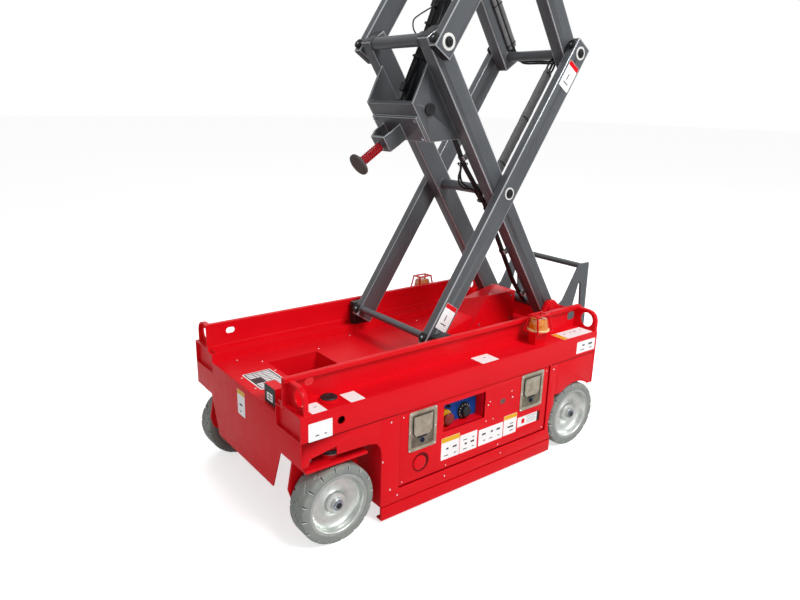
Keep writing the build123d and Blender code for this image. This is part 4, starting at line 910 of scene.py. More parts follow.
def weld_ring(bm, place, radius, wire, ripples=40):
    """A rippled fillet weld round a tube."""
    rows = []
    for i in range(ripples * 2):
        angle = math.pi * i / ripples
        swell = wire * (1.0 if i % 2 else 0.8)
        way = Vector((math.cos(angle), math.sin(angle), 0))
        rows.append([bm.verts.new(place @ (way * (radius + out * swell) + Vector((0, 0, up * swell))))
                     for out, up in ((-0.3, 0.0), (0.4, 0.9), (1.0, 0.45), (1.3, 0.0))])
    skin(bm, rows, True)


def end_plug(bm, at, way, near, far):
    """A pressed plug with a raised rim that closes the end of a box tube."""
    low, high = sorted((at, at + way * 0.0014))
    slab(bm, rounded(near + 0.003, far - 0.003, -0.0515, 0.0515, 0.006, 3), low, high, "yz")
    slab(bm, rounded(near + 0.01, far - 0.01, -0.044, 0.044, 0.005, 3),
         at + way * 0.0013, at + way * 0.0024, "yz")


def arm_details(level, kind):
    """End plugs and weld beads of one pair of arms, in that pair's own frame."""
    near, far = (inner_near, inner_far) if kind == "inner" else (outer_near, outer_far)
    plugs, welds = bmesh.new(), bmesh.new()
    for side in (1, -1):
        y0, y1 = sorted((side * near, side * far))
        end_plug(plugs, -0.058, -1, y0, y1)
        end_plug(plugs, arm_span + 0.058, 1, y0, y1)
        if kind == "inner":
            for s, n, radius in ((0.0, 0.0, 0.027), (arm_span / 2, 0.0, 0.027), (arm_span + 0.032, -0.024, 0.03)):
                weld_ring(welds, towards((s, side * near, n), (0, -side, 0)), radius, 0.006)
        elif level == 0:
            weld_ring(welds, towards((-0.012, side * near, -0.04), (0, -side, 0)), 0.019, 0.005)
    axes = inner_axes(level) if kind == "inner" else outer_axes(level)
    body = "%s_%d" % (kind, level + 1)
    bmesh.ops.transform(plugs, matrix=axes, verts=plugs.verts)
    finish("end_plugs_" + body, plugs, body, [black_nylon], 30.0)
    if welds.verts:
        bmesh.ops.transform(welds, matrix=axes, verts=welds.verts)
        finish("weld_beads_" + body, welds, body, [grey_powder], 60.0)


# The thrust rings between the arms are turned from white nylon.
white_nylon = satin_sheet("white_nylon_washer", "#e6e6e3", "#d9d9d6", 0.42)
pin_bolt = [(22.5, -0.2), (22.5, 1), (15, 1.2), (14.5, 5.2), (13, 6), (7.5, 6), (7, 3), (0, 3)]


def thrust_ring(bm, place, wide, brim):
    """A nylon ring round a pin's end, with its radius and the radius of its brim in mm."""
    turned(bm, [(24.3, 0.2), (wide - 0.5, 0.2), (wide, 1), (wide - 0.5, 3.8), (wide - 2, 4.6), (brim, 4.8),
                (24.3, 4)], place, 40, 0, True)


def pin_heads(level):
    """White thrust rings on the outer arms, and the black socket bolts that hold the pins."""
    number = level + 1
    rings, ends, tops = bmesh.new(), bmesh.new(), bmesh.new()
    inner, outer = inner_axes(level), outer_axes(level)
    for side in (1, -1):
        for s in (0.0, arm_span / 2) if level else (arm_span / 2,):
            thrust_ring(rings, outer @ towards((s, side * outer_far, 0.0), (0, side, 0)), 33 if s else 39, 30)
        for s in (arm_span / 2,) if level == 2 else (arm_span / 2, arm_span):
            turned(ends, pin_bolt, inner @ towards((s, side * 0.328, 0.0), (0, side, 0)), 30)
        top = side * (0.344 if level == 2 else 0.328)
        turned(tops, pin_bolt, outer @ towards((arm_span, top, 0.0), (0, side, 0)), 30, 1)
        thrust_ring(tops, outer @ towards((arm_span, side * outer_far, 0.0), (0, side, 0)), 35, 29)
    finish("thrust_rings_%d" % number, rings, "outer_%d" % number, [white_nylon], 30.0)
    finish("pin_bolts_%d" % number, ends, "inner_%d" % number, [black_nylon], 30.0)
    finish("top_pin_heads_%d" % number, tops, "outer_%d" % number, [white_nylon, black_nylon], 30.0)


# The stops are a dull black rubber.
black_rubber = matt_plastic("black_rubber", "#141414", "#222120", 0.7)


def bumpers(level):
    """Round rubber stops with a sunk bolt, near both ends of the outer arms."""
    bm = bmesh.new()
    for side in (1, -1):
        for s in (-0.022, arm_span + 0.012):
            place = outer_axes(level) @ towards((s, side * 0.297, -0.055), (0, 0, -1))
            turned(bm, [(15, 0), (21.5, 1), (23.5, 4), (23.8, 12), (22, 16.5), (19, 17.8), (10, 18), (9, 12)],
                   place, 32)
            turned(bm, [(7.5, 11.5), (7.5, 15), (6.5, 15.8), (0, 15.8)], place, 6, 1)
    finish("rubber_bumpers_%d" % (level + 1), bm, "outer_%d" % (level + 1), [black_rubber, zinc_plate],
           35.0, node="rest_pads_%d" % (level + 1))


# The arms' rolled corners take the painted highlight.
for level in range(3):
    for kind in ("inner", "outer"):
        softened("%s_arms_%d" % (kind, level + 1), "%s_%d" % (kind, level + 1), grey_powder, 0.005,
                 corner_highlight_powder)
    for kind in ("inner", "outer"):
        arm_details(level, kind)
    pin_heads(level)
    bumpers(level)

for end in ("lower", "upper"):
    softened(end + "_slide_shoes", end + "_shoes", black_nylon, 0.003)


# ---------- lift cylinder and its carrier
# A welded box under the first level's inner arms holds the barrel's foot pin; the flange below it
# is bolted on and carries the sprung plunger that folds the pothole guards.
# Its rolled corners take the painted highlight too.
softened("cylinder_box", "inner_1", grey_powder, 0.0025, corner_highlight_powder)
carrier = inner_axes(0)
cylinder_s, cylinder_n = 1.447, -0.149
flange_bolts = [(carrier @ Vector((s, y, -0.236)), carrier.to_3x3() @ Vector((0, 0, -1)))
                for s in (1.337, 1.438) for y in (-0.163, 0.163)]
repeated("flange_bolts", hex_bolt(11, 7), flange_bolts, "inner_1", zinc_plate, 1.0, 7)
foot_pin = bmesh.new()
for side in (1, -1):
    turned(foot_pin, [(30, 0), (30, 9), (28.5, 11), (23, 11.8), (21, 11.2), (0, 11.2)],
           carrier @ towards((cylinder_s, side * inner_near, cylinder_n), (0, side, 0)), 40)
finish("cylinder_foot_pin_heads", foot_pin, "inner_1", [black_nylon], 30.0)

box_welds = bmesh.new()
for side in (1, -1):
    for i in range(60):
        spot = carrier @ Matrix.Translation((1.215 + 0.415 * i / 60, side * 0.1865, -0.0555))
        turned(box_welds, [(3.4, -3.5), (4.2, 0), (3, 3.5)], spot @ Matrix.Rotation(math.pi / 2, 4, "Y"), 8)
finish("box_weld_beads", box_welds, "inner_1", [grey_powder], 60.0)

coil, given = growing("round_wire_coil", (("Start", "Geometry"), ("Turns", "Float"), ("Radius", "Float"),
                                          ("Length", "Float"), ("Wire", "Float"), ("Finish", "Material")))
line = add(coil, "GeometryNodeCurveSpiral", Resolution=28, Rotations=given["Turns"], Start_Radius=given["Radius"],
           End_Radius=given["Radius"], Height=given["Length"])
section = add(coil, "GeometryNodeCurvePrimitiveCircle", Resolution=12, Radius=given["Wire"])
dress(coil, add(coil, "GeometryNodeCurveToMesh", Curve=line.outputs[0], Profile_Curve=section.outputs[0],
                Fill_Caps=True), given)
# The spring is dipped in gloss paint: a bright coil under the dark flange.
spring_red = enamel("spring_red_paint", "#b5121f", "#c31a26", 0.3)
plunger_axis = carrier @ towards((1.366, -0.027, 0.0), (0, 0, -1))
plunger = bmesh.new()
turned(plunger, [(0, 325), (12, 325), (12, 504)], plunger_axis, 24)
turned(plunger, [(0, 503), (15, 503), (16, 505.5), (54, 506), (57.5, 508.5), (58, 512), (58, 518.5), (56, 521.5),
                 (50, 523), (0, 523)], plunger_axis, 56, 1)
turned(plunger, [(24.5, 352.5), (24.5, 356), (13, 356.5)], plunger_axis, 32)
# The plunger's foot is worn rubber, brown with dust.
foot_rubber = matt_plastic("foot_rubber", "#46423f", "#524d4a", 0.75)
finish("guard_plunger", plunger, "inner_1", [zinc_plate, foot_rubber], 35.0, node="plunger")
spring = grown_mesh("plunger_spring", coil, bpy.data.meshes.new("spring_start"),
                    {"Turns": 11.0, "Radius": 0.02, "Length": 0.144, "Wire": 0.0042, "Finish": spring_red})
spring.transform(plunger_axis @ Matrix.Translation((0, 0, 0.3575)))
spring.shade_smooth()
settle("plunger_spring", spring, "inner_1")

# Black gloss on the barrel: long narrow highlights down its side.
black_gloss = enamel("black_gloss_enamel", "#17181a", "#1e1f22", 0.22)
softened("lift_barrel", "lift_barrel", black_gloss, 0.002)
softened("lift_rod", "lift_rod", chrome, 0.001)


# ---------- hoses and cables on the arms
# Two black hoses are clipped along the left inner arm, their slack hangs in loops by the middle tube,
# and grey woven sleeves carry the rest up the second half of the run, tied at both ends.
def painted(node, paint):
    """A frame part keeps its own shape and takes a finish."""
    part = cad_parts[node]
    for slot in part.material_slots:
        slot.material = paint
    part.data.shade_smooth()
    part.data.set_sharp_from_angle(angle=math.radians(35))


def smooth_route(points, steps=10):
    """A smooth curve through a short list of points."""
    points = [Vector(p) for p in points]
    ends = [points[0] * 2 - points[1]] + points + [points[-1] * 2 - points[-2]]
    route = []
    for a, b, c, d in zip(ends, ends[1:], ends[2:], ends[3:]):
        for i in range(steps):
            t = i / steps
            route.append(0.5 * (b * 2 + (c - a) * t + (a * 2 - b * 5 + c * 4 - d) * t * t
                                + (b * 3 - a - c * 3 + d) * t * t * t))
    return route + [points[-1]]


def tube(bm, route, radius, sides=14, paint=0):
    """A round tube along a route, capped at both ends."""
    up = Vector((0, 1, 0))
    rings = []
    for i, spot in enumerate(route):
        way = (route[min(i + 1, len(route) - 1)] - route[max(i - 1, 0)]).normalized()
        across = way.cross(up if abs(way.dot(up)) < 0.95 else Vector((1, 0, 0))).normalized()
        up = across.cross(way).normalized()
        ring = []
        for k in range(sides):
            angle = 2 * math.pi * k / sides
            ring.append(bm.verts.new(spot + radius * (math.cos(angle) * across + math.sin(angle) * up)))
        rings.append(ring)
    for ring in (rings[0], rings[-1]):
        cap(bm, ring, paint)
    skin(bm, rings, paint=paint)


def free_hose(name, body, axes, points, radius, paint):
    """A loop of slack hose between two clips."""
    route = [axes @ p for p in smooth_route(points, 16)]
    bm = bmesh.new()
    tube(bm, route, radius)
    piece = finish(name, bm, body, [paint], 60.0)


def woven(name, first, second):
    """A woven nylon sleeve: a basket of threads, drawn 3 mm wide so that they show."""
    made, tree, where = surface(name)
    tone = two_tones(tree, where, 40, first, second)
    weave = add(tree, "ShaderNodeTexVoronoi", Vector=where, Scale=1000 / 3.2)
    lift = add(tree, "ShaderNodeBump", Strength=0.45, Distance=0.0006, Height=weave.outputs[0])
    shade = spread(tree, weave, 1.1, 0.75, From_Max=0.7)
    mixed = add(tree, "ShaderNodeVectorMath", {"operation": "SCALE"}, i0=tone, Scale=shade)
    return close(made, mixed.outputs[0], 0.78, lift, Sheen_Weight=0.2)


# Hose rubber has a soft broad sheen; the sleeves are a duller, slightly brown grey.
hose_rubber = matt_plastic("hose_rubber", "#101113", "#1a1b1d", 0.42, 1.2, 0.1)
grey_sleeve = woven("grey_woven_sleeve", "#67676a", "#747272")
first_arms, first_links, second_arms = inner_axes(0), outer_axes(0), inner_axes(1)
painted("hoses_lower", hose_rubber)


def sleeve(bm, axes, s0, s1, y, n, half_width, half_depth, seed):
    """A flat sleeve: a squashed tube that pinches in where it is tied and wrinkles between."""
    count, sides = 60, 20
    rings = []
    for i in range(count + 1):
        t = i / count
        s = s0 + (s1 - s0) * t
        swell = 1.0 + 0.06 * noise.noise(Vector((s * 14, seed, 0)))
        pinch = min(1.0, 0.72 + 9 * min(t, 1 - t))
        ring = []
        for k in range(sides):
            angle = 2 * math.pi * k / sides
            ripple = 1 + 0.05 * noise.noise(Vector((s * 30, math.cos(angle) * 2, seed)))
            across, deep = math.cos(angle), math.sin(angle)
            across = half_width * swell * pinch * ripple * math.copysign(abs(across) ** 0.7, across)
            deep = half_depth * ripple * math.copysign(abs(deep) ** 0.7, deep)
            ring.append(bm.verts.new(axes @ Vector((s, y + deep, n + across))))
        rings.append(ring)
    for ring in (rings[0], rings[-1]):
        cap(bm, ring)
    skin(bm, rings)


def cable_tie(bm, axes, s, y, n, half_width, half_depth, paint=0):
    """A nylon tie pulled tight round a flat bundle, with its head and cut tail."""
    flat = rounded(-half_width, half_width, -half_depth, half_depth, min(half_width, half_depth) * 0.8, 4)
    inner = [(y + b, n + a) for a, b in flat]
    outer = [(y + b * (1 + 0.0022 / half_depth), n + a * (1 + 0.0022 / half_width)) for a, b in flat]
    first = len(bm.verts)
    ring_of(bm, outer, inner, s - 0.0025, s + 0.0025, "yz", paint)
    edge = y - half_depth
    block(bm, s - 0.0045, s + 0.0045, edge - 0.006, edge - 0.0005, n - 0.0035, n + 0.0045, paint)
    block(bm, s - 0.0015, s + 0.0015, edge - 0.015, edge - 0.005, n - 0.0008, n + 0.0008, paint)
    moved(bm, first, axes)


link_sleeve = bmesh.new()
sleeve(link_sleeve, first_links, 0.885, 1.602, 0.168, 0.0, 0.03, 0.011, 1.0)
finish("link_sleeve", link_sleeve, "outer_1", [grey_sleeve], 60.0, node="hose_sleeve")
link_ties = bmesh.new()
for s in (0.9, 1.02, 1.3, 1.58):
    cable_tie(link_ties, first_links, s, 0.168, 0.0, 0.0262 if 0.95 < s < 1.5 else 0.0245, 0.0113)
for y, n in ((0.16, -0.014), (0.164, 0.002), (0.172, 0.015), (0.176, -0.004)):
    for s0, s1, bow in ((1.585, 1.672, 0.004), (0.882, 0.899, 0.0)):
        route = smooth_route(((s0, y, n), ((s0 + s1) / 2, y - bow, n * 1.2 + bow), (s1, y, n * 0.8)), 6)
        tube(link_ties, [first_links @ p for p in route], 0.0055, 12)
finish("link_ties", link_ties, "outer_1", [black_nylon], 40.0)

arm_sleeves = bmesh.new()
sleeve_y, sleeve_rows = -0.1784, (0.018, 0.056)
for n, seed in zip(sleeve_rows, (2.0, 3.0)):
    sleeve(arm_sleeves, second_arms, 0.036, 0.817, sleeve_y, n, 0.014, 0.008, seed)
finish("arm_sleeves", arm_sleeves, "inner_2", [grey_sleeve], 60.0, node="hoses_upper")
arm_ties = bmesh.new()
for s in (0.06, 0.3, 0.54, 0.78):
    for n in sleeve_rows:
        cable_tie(arm_ties, second_arms, s, sleeve_y, n, 0.0142, 0.0082)
finish("arm_ties", arm_ties, "inner_2", [black_nylon], 40.0)
for tag, out, n in zip("ab", (0.0, 0.0125), sleeve_rows):
    free_hose("crossing_hose_" + tag, "inner_2", second_arms, (
        (-0.014, 0.162 + out * 0.8, -0.026), (-0.024 - out, 0.146 + out * 0.3, -0.02),
        (-0.035 - out, 0.1, -0.006), (-0.036 - out, 0.02, 0.0),
        (-0.036 - out, -0.08, 0.004), (-0.033 - out, -0.136, 0.012 + out),
        (-0.016 - out * 0.6, -0.17, 0.034 + out * 1.4),
        (0.018, sleeve_y, n * 0.4 + 0.026), (0.052, sleeve_y, n)), 0.0055, hose_rubber)

clips = bmesh.new()
for s, n in ((0.15, -0.069), (0.47, -0.064), (0.76, -0.047), (1.11, -0.066)):
    first = len(clips.verts)
    ring_of(clips, rounded(0.137, 0.1745, n - 0.011, n + 0.011, 0.009, 4),
            rounded(0.1395, 0.1725, n - 0.0085, n + 0.0085, 0.0075, 4), s - 0.009, s + 0.009, "yz")
    block(clips, s - 0.008, s + 0.008, 0.1715, 0.1738, n + 0.006, n + 0.03)
    moved(clips, first, first_arms)
    turned(clips, [(6, 0), (5.8, 3), (4, 4.2), (0, 4.3)],
           first_arms @ towards((s, 0.1724, n + 0.022), (0, -1, 0)), 16, 1)
finish("hose_clips", clips, "inner_1", [black_nylon, zinc_plate], 35.0)
free_hose("slack_hose_outer", "inner_1", first_arms, (
    (1.075, 0.136, -0.069), (1.05, 0.134, -0.08), (1.02, 0.132, -0.112), (0.985, 0.13, -0.124),
    (0.945, 0.131, -0.11), (0.915, 0.134, -0.076), (0.875, 0.136, -0.058), (0.82, 0.137, -0.048)),
    0.0055, hose_rubber)
free_hose("slack_hose_inner", "inner_1", first_arms, (
    (1.06, 0.122, -0.066), (1.04, 0.121, -0.074), (1.01, 0.119, -0.092), (0.975, 0.118, -0.098),
    (0.94, 0.119, -0.086), (0.9, 0.121, -0.06), (0.85, 0.123, -0.046), (0.8, 0.124, -0.044)),
    0.0055, hose_rubber)
for tag, y, end in (("outer", 0.164, 0.053), ("inner", 0.1476, 0.035)):
    free_hose("feed_hose_" + tag, "inner_1", first_arms, (
        (1.15, y, -0.064), (1.185, y, -0.0615), (1.24, y - 0.004, -0.06), (1.3, y - 0.022, -0.07),
        (1.36, (y + end) / 2, -0.094), (1.405, end + 0.018, -0.118), (1.44, end, -0.138)), 0.008, hose_rubber)
slack_ties = bmesh.new()
for s, n in ((1.068, -0.067), (0.812, -0.046)):
    cable_tie(slack_ties, first_arms, s, 0.146, n, 0.0105, 0.03)
finish("slack_ties", slack_ties, "inner_1", [black_nylon], 40.0)


# ---------- lift cylinder fittings
# The barrel ends in a screwed gland with spanner slots and a wiper lip; a steel pipe runs along it
# from the valve block at its foot.
foot = carrier @ Vector((cylinder_s, 0, cylinder_n))
crown = second_arms @ Vector((0.8114, 0, -0.0632))
lift_line = crown - foot
lift_axes = towards(foot, lift_line)
gland = bmesh.new()
turned(gland, [(24.5, 570), (39, 570), (39, 540), (41, 540), (42, 541.2), (42, 571.5), (40.5, 573.5), (30, 573.8),
               (29, 578), (26, 578.5), (24.5, 577.5)], lift_axes, 48, 0, True)
for i in range(4):
    notch = lift_axes @ Matrix.Rotation(math.radians(90 * i + 20), 4, "Z")
    first = len(gland.verts)
    block(gland, 0.0412, 0.0427, -0.005, 0.005, 0.556, 0.568, 1)
    moved(gland, first, notch)
finish("cylinder_gland", gland, "lift_barrel", [black_gloss, black_nylon], 30.0)
pipe = bmesh.new()
block(pipe, 0.0395, 0.065, -0.018, 0.018, 0.07, 0.112)
block(pipe, 0.0395, 0.062, -0.015, 0.015, 0.51, 0.542)
tube(pipe, smooth_route(((0.055, 0.0, 0.11), (0.055, 0.0, 0.16), (0.056, 0.004, 0.23), (0.055, 0.006, 0.34),
                         (0.056, 0.004, 0.45), (0.056, 0.0, 0.512))), 0.006, 16)
for z in (0.25, 0.42):
    turned(pipe, [(40.5, -5), (42.5, -5), (42.5, 5), (40.5, 5)], Matrix.Translation((0, 0, z)), 40, 0, True)
    block(pipe, 0.04, 0.066, -0.006, 0.014, z - 0.005, z + 0.005)
bmesh.ops.transform(pipe, matrix=lift_axes @ Matrix.Rotation(math.pi / 2, 4, "Z"), verts=pipe.verts)
finish("cylinder_pipe", pipe, "lift_barrel", [black_gloss], 35.0)

# A black cable leaves the pipe's clip block in a free loop and turns back to the barrel.
along = lift_line.normalized()
cable_turn = Matrix(((along.x, 0, along.z, 0), (0, 1, 0, 0), (along.z, 0, -along.x, 0), (0, 0, 0, 1)))
cable_axes = Matrix.Translation(foot) @ cable_turn
free_hose("barrel_cable", "lift_barrel", cable_axes, (
    (0.526, 0.02, 0.048), (0.5, 0.04, 0.074), (0.452, 0.056, 0.118), (0.404, 0.06, 0.156), (0.366, 0.06, 0.176),
    (0.332, 0.058, 0.158), (0.316, 0.05, 0.112), (0.304, 0.036, 0.07), (0.292, 0.02, 0.044)), 0.0036, hose_rubber)


# ---------- ladder
# Two flame-cut side plates with a tapered slot, folded treads between them and a tube across the top.
# It is welded, powder-coated and bolted to the chassis; small lugs are pressed up in its treads.
softened("ladder", "chassis", grey_powder, 0.0025)


def tread_lug(length, width, height):
    """One lens-shaped lug, as pressed up in a tread plate; its sizes in mm."""
    bm = bmesh.new()
    turned(bm, [(length, 0.0), (length * 0.8, height * 0.6), (length * 0.45, height * 0.95), (0.0, height)],
           Matrix.Diagonal((1.0, width / length, 1.0, 1.0)), 12)
    return bm


tread_lugs = [((-1.1 + 0.026 * k, -0.21 + 0.042 * i - 0.021 * (k % 2), z), (0, 0, 1))
              for z in (0.306, 0.476, 0.646) for i in range(11) for k in range(3)]
repeated("ladder_tread_lugs", tread_lug(8.5, 3.2, 1.6), tread_lugs, "chassis", grey_powder, 3.0, 8)
ladder_bolts = [((-0.858, side * 0.2645, z), (0, side, 0)) for side in (1, -1) for z in (0.4, 0.56, 0.7)]
repeated("ladder_bolts", hex_bolt(9, 6), ladder_bolts, "chassis", zinc_plate, 1.0, 9)


# ---------- platform floor and frame
# Folded channels and slide tracks under a tread-plate floor, with plain toe boards round it.
# Lugs are pressed up in a herringbone, each turned a quarter against its neighbours.
top_pivot = first_pivot_z + 3 * level_height
floor_top = top_pivot + 0.136
softened("platform_frame", "platform", grey_powder, 0.002)
for part in ("platform", "extension"):
    softened(part + "_deck", part, grey_powder, 0.0008)
rail_y, half_gate = 0.528, 0.29
rear_rail_x, front_post_x = -1.078, 1.036


def herringbone(name, body, x0, x1, y0, y1, z, seed):
    """Tread lugs over a rectangle, in rows that lean left and right by turns."""
    pitch = 0.045
    for lean, tag in ((1, "a"), (-1, "b")):
        places = [((x0 + 0.022 + pitch * i, y0 + 0.022 + pitch * k, z), (0, 0, 1))
                  for i in range(int((x1 - x0) / pitch)) for k in range(int((y1 - y0) / pitch))
                  if (i + k) % 2 == (lean > 0)]
        lug = tread_lug(14, 4.2, 2)
        bmesh.ops.rotate(lug, cent=(0, 0, 0), matrix=Matrix.Rotation(lean * math.pi / 4, 3, "Z"), verts=lug.verts)
        repeated(name + "_" + tag, lug, places, body, grey_powder, 0.0, seed)


herringbone("floor_lugs_rear", "platform", -1.06, -0.45, -0.5, 0.5, floor_top, 11)
herringbone("floor_lugs_roll_out", "extension", -0.42, 1.06, -0.44, 0.44, floor_top + 0.01, 12)

frame_bolts = [((x, side * 0.398, z), (0, side, 0)) for side in (1, -1)
               for row, z in (((-0.9, -0.4, 0.2, 0.7), top_pivot + 0.098), ((0.1, 0.4, 0.7, 0.95), top_pivot))
               for x in row]
repeated("frame_bolts", hex_bolt(8, 5), frame_bolts, "platform", zinc_plate, 1.0, 10)


# ---------- guard rails and entry gate
# Round steel tube welded at every joint; the posts stand in plates bolted to the floor's edge.
# The gate swings in on two strap hinges and shuts on a sprung latch.
for node in ("guard_rails", "extension_rails", "entry_gate"):
    painted(node, grey_powder)
rail_high, rail_middle = floor_top + 1.1 - 0.019, floor_top + 0.55
posts = [(x, side * rail_y) for side in (1, -1) for x in (rear_rail_x, -0.376, 0.324, front_post_x)]
posts += [(rear_rail_x, side * half_gate) for side in (1, -1)]
rail_welds = bmesh.new()
for x, y in posts:
    weld_ring(rail_welds, Matrix.Translation((x, y, floor_top)), 0.019, 0.005, 24)
    if y not in (half_gate, -half_gate):
        weld_ring(rail_welds, towards((x, y, rail_high - 0.018), (0, 0, -1)), 0.019, 0.004, 24)
for side in (1, -1):
    for x, way in ((-0.376, 1), (-0.376, -1), (0.324, 1), (0.324, -1)):
        place = towards((x + way * 0.018, side * rail_y, rail_middle), (way, 0, 0))
        weld_ring(rail_welds, place, 0.019, 0.004, 24)
finish("rail_weld_rings", rail_welds, "platform", [grey_powder], 60.0)
toe_screws = [((x, side * 0.5505, floor_top + z), (0, side, 0))
              for side in (1, -1) for x in (-1.04, -0.376, 0.324, 0.98) for z in (0.045, 0.115)]
repeated("toe_board_screws", button_screw(6, 2.4), toe_screws, "platform", zinc_plate, 1.0, 13)

gate_parts = bmesh.new()
for z in (floor_top + 0.32, floor_top + 0.92):
    slab(gate_parts, rounded(rear_rail_x - 0.013, rear_rail_x + 0.013, z - 0.02, z + 0.02, 0.005), 0.214, 0.246, "xz")
    turned(gate_parts, [(7, -23.5), (8, -22), (8, 22), (7, 23.5)], Matrix.Translation((rear_rail_x, 0.262, z)), 20, 1)
slab(gate_parts, rounded(rear_rail_x - 0.012, rear_rail_x + 0.012, rail_high - 0.06, rail_high - 0.01, 0.006),
     -0.248, -0.224, "xz")
turned(gate_parts, [(9, 0), (10.5, 3), (10.5, 34), (8, 38), (0, 39)],
       towards((rear_rail_x + 0.01, -0.23, rail_high - 0.034), (1, 0, 0)), 24, 2)
finish("gate_hinges_and_latch", gate_parts, "gate", [grey_powder, zinc_plate, black_nylon], 30.0)


# ---------- platform controls
# A hooded box hangs on the front rail: joystick, stop button, rotary switch and a row of push buttons.
# The case is black moulded plastic with a plain grey legend plate.
box_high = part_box("platform_controls")[1]
case = bmesh.new()
x_back, x_front = 0.93, 1.044
low, high = box_high[2] - 0.15, box_high[2] - 0.04
profile = [(x_front, low), (x_front, high - 0.012), (x_front - 0.01, high), (x_back + 0.06, high),
           (x_back, low + 0.045), (x_back, low)]
slab(case, profile, -0.17, 0.09, "xz")
roll_edges(case, 0.006, 35.0, 3)
for y0, y1 in ((-0.14, -0.1), (0.02, 0.06)):
    hook = [(x_front - 0.008, low), (x_front + 0.0008, low), (x_front + 0.0008, box_high[2]),
            (x_front - 0.008, box_high[2])]
    slab(case, hook, y0, y1, "xz", 1)
slope = Vector((0.06, 0, high - low - 0.045)).normalized()
outward = Vector((-slope.z, 0, slope.x))
legend_centre = Vector((x_back + 0.03, -0.04, (high + low + 0.045) / 2))
legend = Matrix.Translation(legend_centre) @ Matrix((
    (slope.x, 0, outward.x, 0), (0, 1, 0, 0), (slope.z, 0, outward.z, 0), (0, 0, 0, 1)))
first = len(case.verts)
slab(case, rounded(-0.036, 0.036, -0.118, 0.118, 0.006), 0.0005, 0.0015, "xy", 2)
for i in range(5):
    slab(case, rounded(-0.026, -0.01, -0.1 + 0.03 * i, -0.08 + 0.03 * i, 0.002, 2), 0.0014, 0.004)
moved(case, first, legend)
turned(case, [(20, 0), (20, 2), (19, 3), (9, 3.5), (9, 10), (16, 12), (17.5, 15), (16, 21), (0, 23)],
       legend @ Matrix.Translation((0.008, 0.085, 0.001)), 32, 3)
turned(case, [(13, 0), (13, 10), (11.5, 13), (0, 13.5)], legend @ Matrix.Translation((0.012, -0.06, 0.001)), 28)
stick = Matrix.Translation((x_back + 0.086, 0.01, high))
turned(case, [(26, -1), (26, 3), (23, 6), (19, 7), (17, 12), (13, 16), (8, 20), (8, 30), (12, 33), (13, 37),
              (11, 39.5), (0, 39.8)], stick, 36)
finish("platform_control_box", case, "extension", [black_nylon, grey_powder, grey_print, stop_red],
       35.0, node="platform_controls")


# ---------- vinyl patches
# Plain patches stand where the machine carries its labels: white bodies with a coloured head strip,
# a few thin dark bars, and nothing to read. Each is a film 0.4 mm thick with round corners.
def patch(bm, x0, x1, z0, z1, face, plane, head=None, bars=()):
    """One patch on a flat face; head is its strip's edge and paint, bars are short marks."""
    low, high = sorted((face, face + math.copysign(0.0004, face)))
    slab(bm, rounded(x0, x1, z0, z1, 0.004, 3), low, high, plane, 0)
    lift = (high, high + 0.0001) if face > 0 else (low - 0.0001, low)
    if head:
        h0, h1, paint = head
        slab(bm, [(x0 + 0.001, h0), (x1 - 0.001, h0), (x1 - 0.001, h1), (x0 + 0.001, h1)], *lift, plane, paint)
    for a0, a1, b0, b1 in bars:
        slab(bm, rounded(a0, a1, b0, b1, 0.0012, 2), *lift, plane, 3)


# Printed marks are a near-black ink.
dark_print = satin_sheet("dark_print", "#2c2c2e", "#38383a", 0.5)


def marks(x0, x1, z0, z1, across, down):
    """A loose grid of short bars inside a rectangle."""
    made = []
    for i in range(across):
        for k in range(down):
            a = x0 + (x1 - x0) * (i + 0.2) / across
            b = z0 + (z1 - z0) * (k + 0.25) / down
            length = (x1 - x0) * (0.3 + 0.2 * ((i + k) % 2)) / across
            made.append((a, a + length, b, b + (0.01 if k % 2 else 0.005)))
    return made


patch_paints = [white_vinyl, yellow_vinyl, red_enamel, dark_print]
for tag, face, rows in (
        ("left", door_y, ((0.203, 0.325, 0.213, 0.334, (0.307, 0.333, 1), (0.21, 0.32, 0.222, 0.29, 2, 2)),
                          (0.08, 0.199, 0.212, 0.314, None, (0.088, 0.192, 0.222, 0.3, 2, 3)),
                          (-0.11, 0.068, 0.213, 0.305, None, (-0.1, 0.06, 0.225, 0.295, 3, 2)),
                          (-0.215, -0.116, 0.215, 0.332, (0.307, 0.331, 1), (-0.208, -0.122, 0.228, 0.29, 1, 3)))),
        ("right", -door_y, ((0.09, 0.212, 0.213, 0.334, (0.307, 0.333, 1), (0.1, 0.2, 0.222, 0.29, 2, 2)),
                            (-0.11, 0.068, 0.213, 0.305, None, (-0.1, 0.06, 0.225, 0.295, 3, 2))))):
    door_patches = bmesh.new()
    for x0, x1, z0, z1, head, grid in rows:
        patch(door_patches, x0, x1, z0, z1, face, "xz", head, marks(*grid))
    finish("door_patches_" + tag, door_patches, tag + "_door", patch_paints, 30.0)

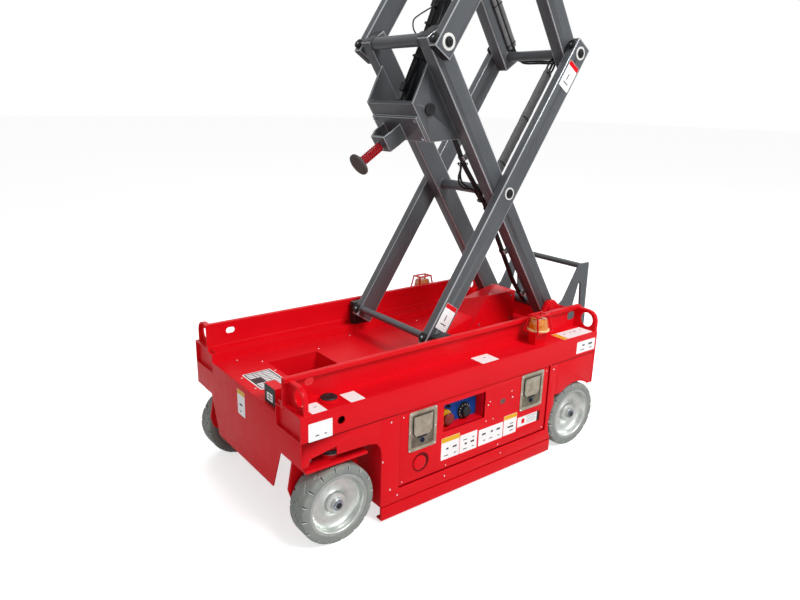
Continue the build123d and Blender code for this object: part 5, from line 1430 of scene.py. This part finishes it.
body_patches = bmesh.new()
for plane, face, x0, x1, z0, z1, head, grid in (
        ("xz", 0.561, 0.964, 1.082, 0.552, 0.636, (0.6365, 0.652, 2), (0.985, 1.06, 0.562, 0.6, 2, 1)),
        ("xz", 0.561, -0.828, -0.666, 0.57, 0.64, None, (-0.815, -0.68, 0.58, 0.625, 2, 2)),
        ("xy", ledge_top, 0.985, 1.058, 0.464, 0.556, None, (0.998, 1.045, 0.49, 0.53, 1, 1)),
        ("xy", ledge_top, 0.787, 0.862, 0.458, 0.552, None, ()),
        ("xy", ledge_top, -0.045, 0.07, 0.462, 0.553, None, (-0.02, 0.05, 0.48, 0.53, 1, 1)),
        ("xy", ledge_top, -0.81, -0.598, 0.456, 0.552, None, (-0.79, -0.61, 0.47, 0.54, 4, 1)),
        ("xy", ledge_top, -0.596, -0.56, 0.456, 0.552, (0.458, 0.55, 1), ()),
        ("yz", 1.119, -0.05, 0.03, 0.455, 0.585, (0.562, 0.584, 1), (-0.04, 0.02, 0.465, 0.53, 1, 2)),
        ("yz", -0.843, 0.3, 0.42, 0.6, 0.69, None, ()),
        ("yz", -0.843, -0.42, -0.3, 0.6, 0.69, None, ())):
    patch(body_patches, x0, x1, z0, z1, face, plane, head, marks(*grid) if grid else ())
finish("body_patches", body_patches, "chassis", patch_paints, 30.0)

# Under the tray's outer band a shallow seam shows where the side sheets are welded on. The band stands slightly
# proud, and the strip in darker red under it is its painted shadow.
seam_shadows = bmesh.new()
for side in (1, -1):
    low, high = sorted((side * 0.5607, side * 0.5611))
    for x0, x1 in ((0.6, 1.1), (-0.84, -0.46)):
        slab(seam_shadows, [(x0, 0.5494), (x1, 0.5494), (x1, 0.5517), (x0, 0.5517)], low, high, "xz")
finish("side_seams", seam_shadows, "chassis", [shaded_red], 30.0)

arm_patches = bmesh.new()
for side in (1, -1):
    for s0, s1, head in ((0.052, 0.194, (0.169, 0.193, 2)), (1.49, 1.638, (1.612, 1.637, 2))):
        lines = ((-0.02, 0.022, s0 + 0.03, s0 + 0.036), (-0.006, 0.0, s0 + 0.05, s0 + 0.085))
        patch(arm_patches, -0.04, 0.044, s0, s1, side * outer_far, "yz", head, lines)
for corner in arm_patches.verts:
    corner.co = (corner.co.z, corner.co.x, corner.co.y)
bmesh.ops.transform(arm_patches, matrix=first_links, verts=arm_patches.verts)
finish("arm_patches", arm_patches, "outer_1", patch_paints, 30.0)
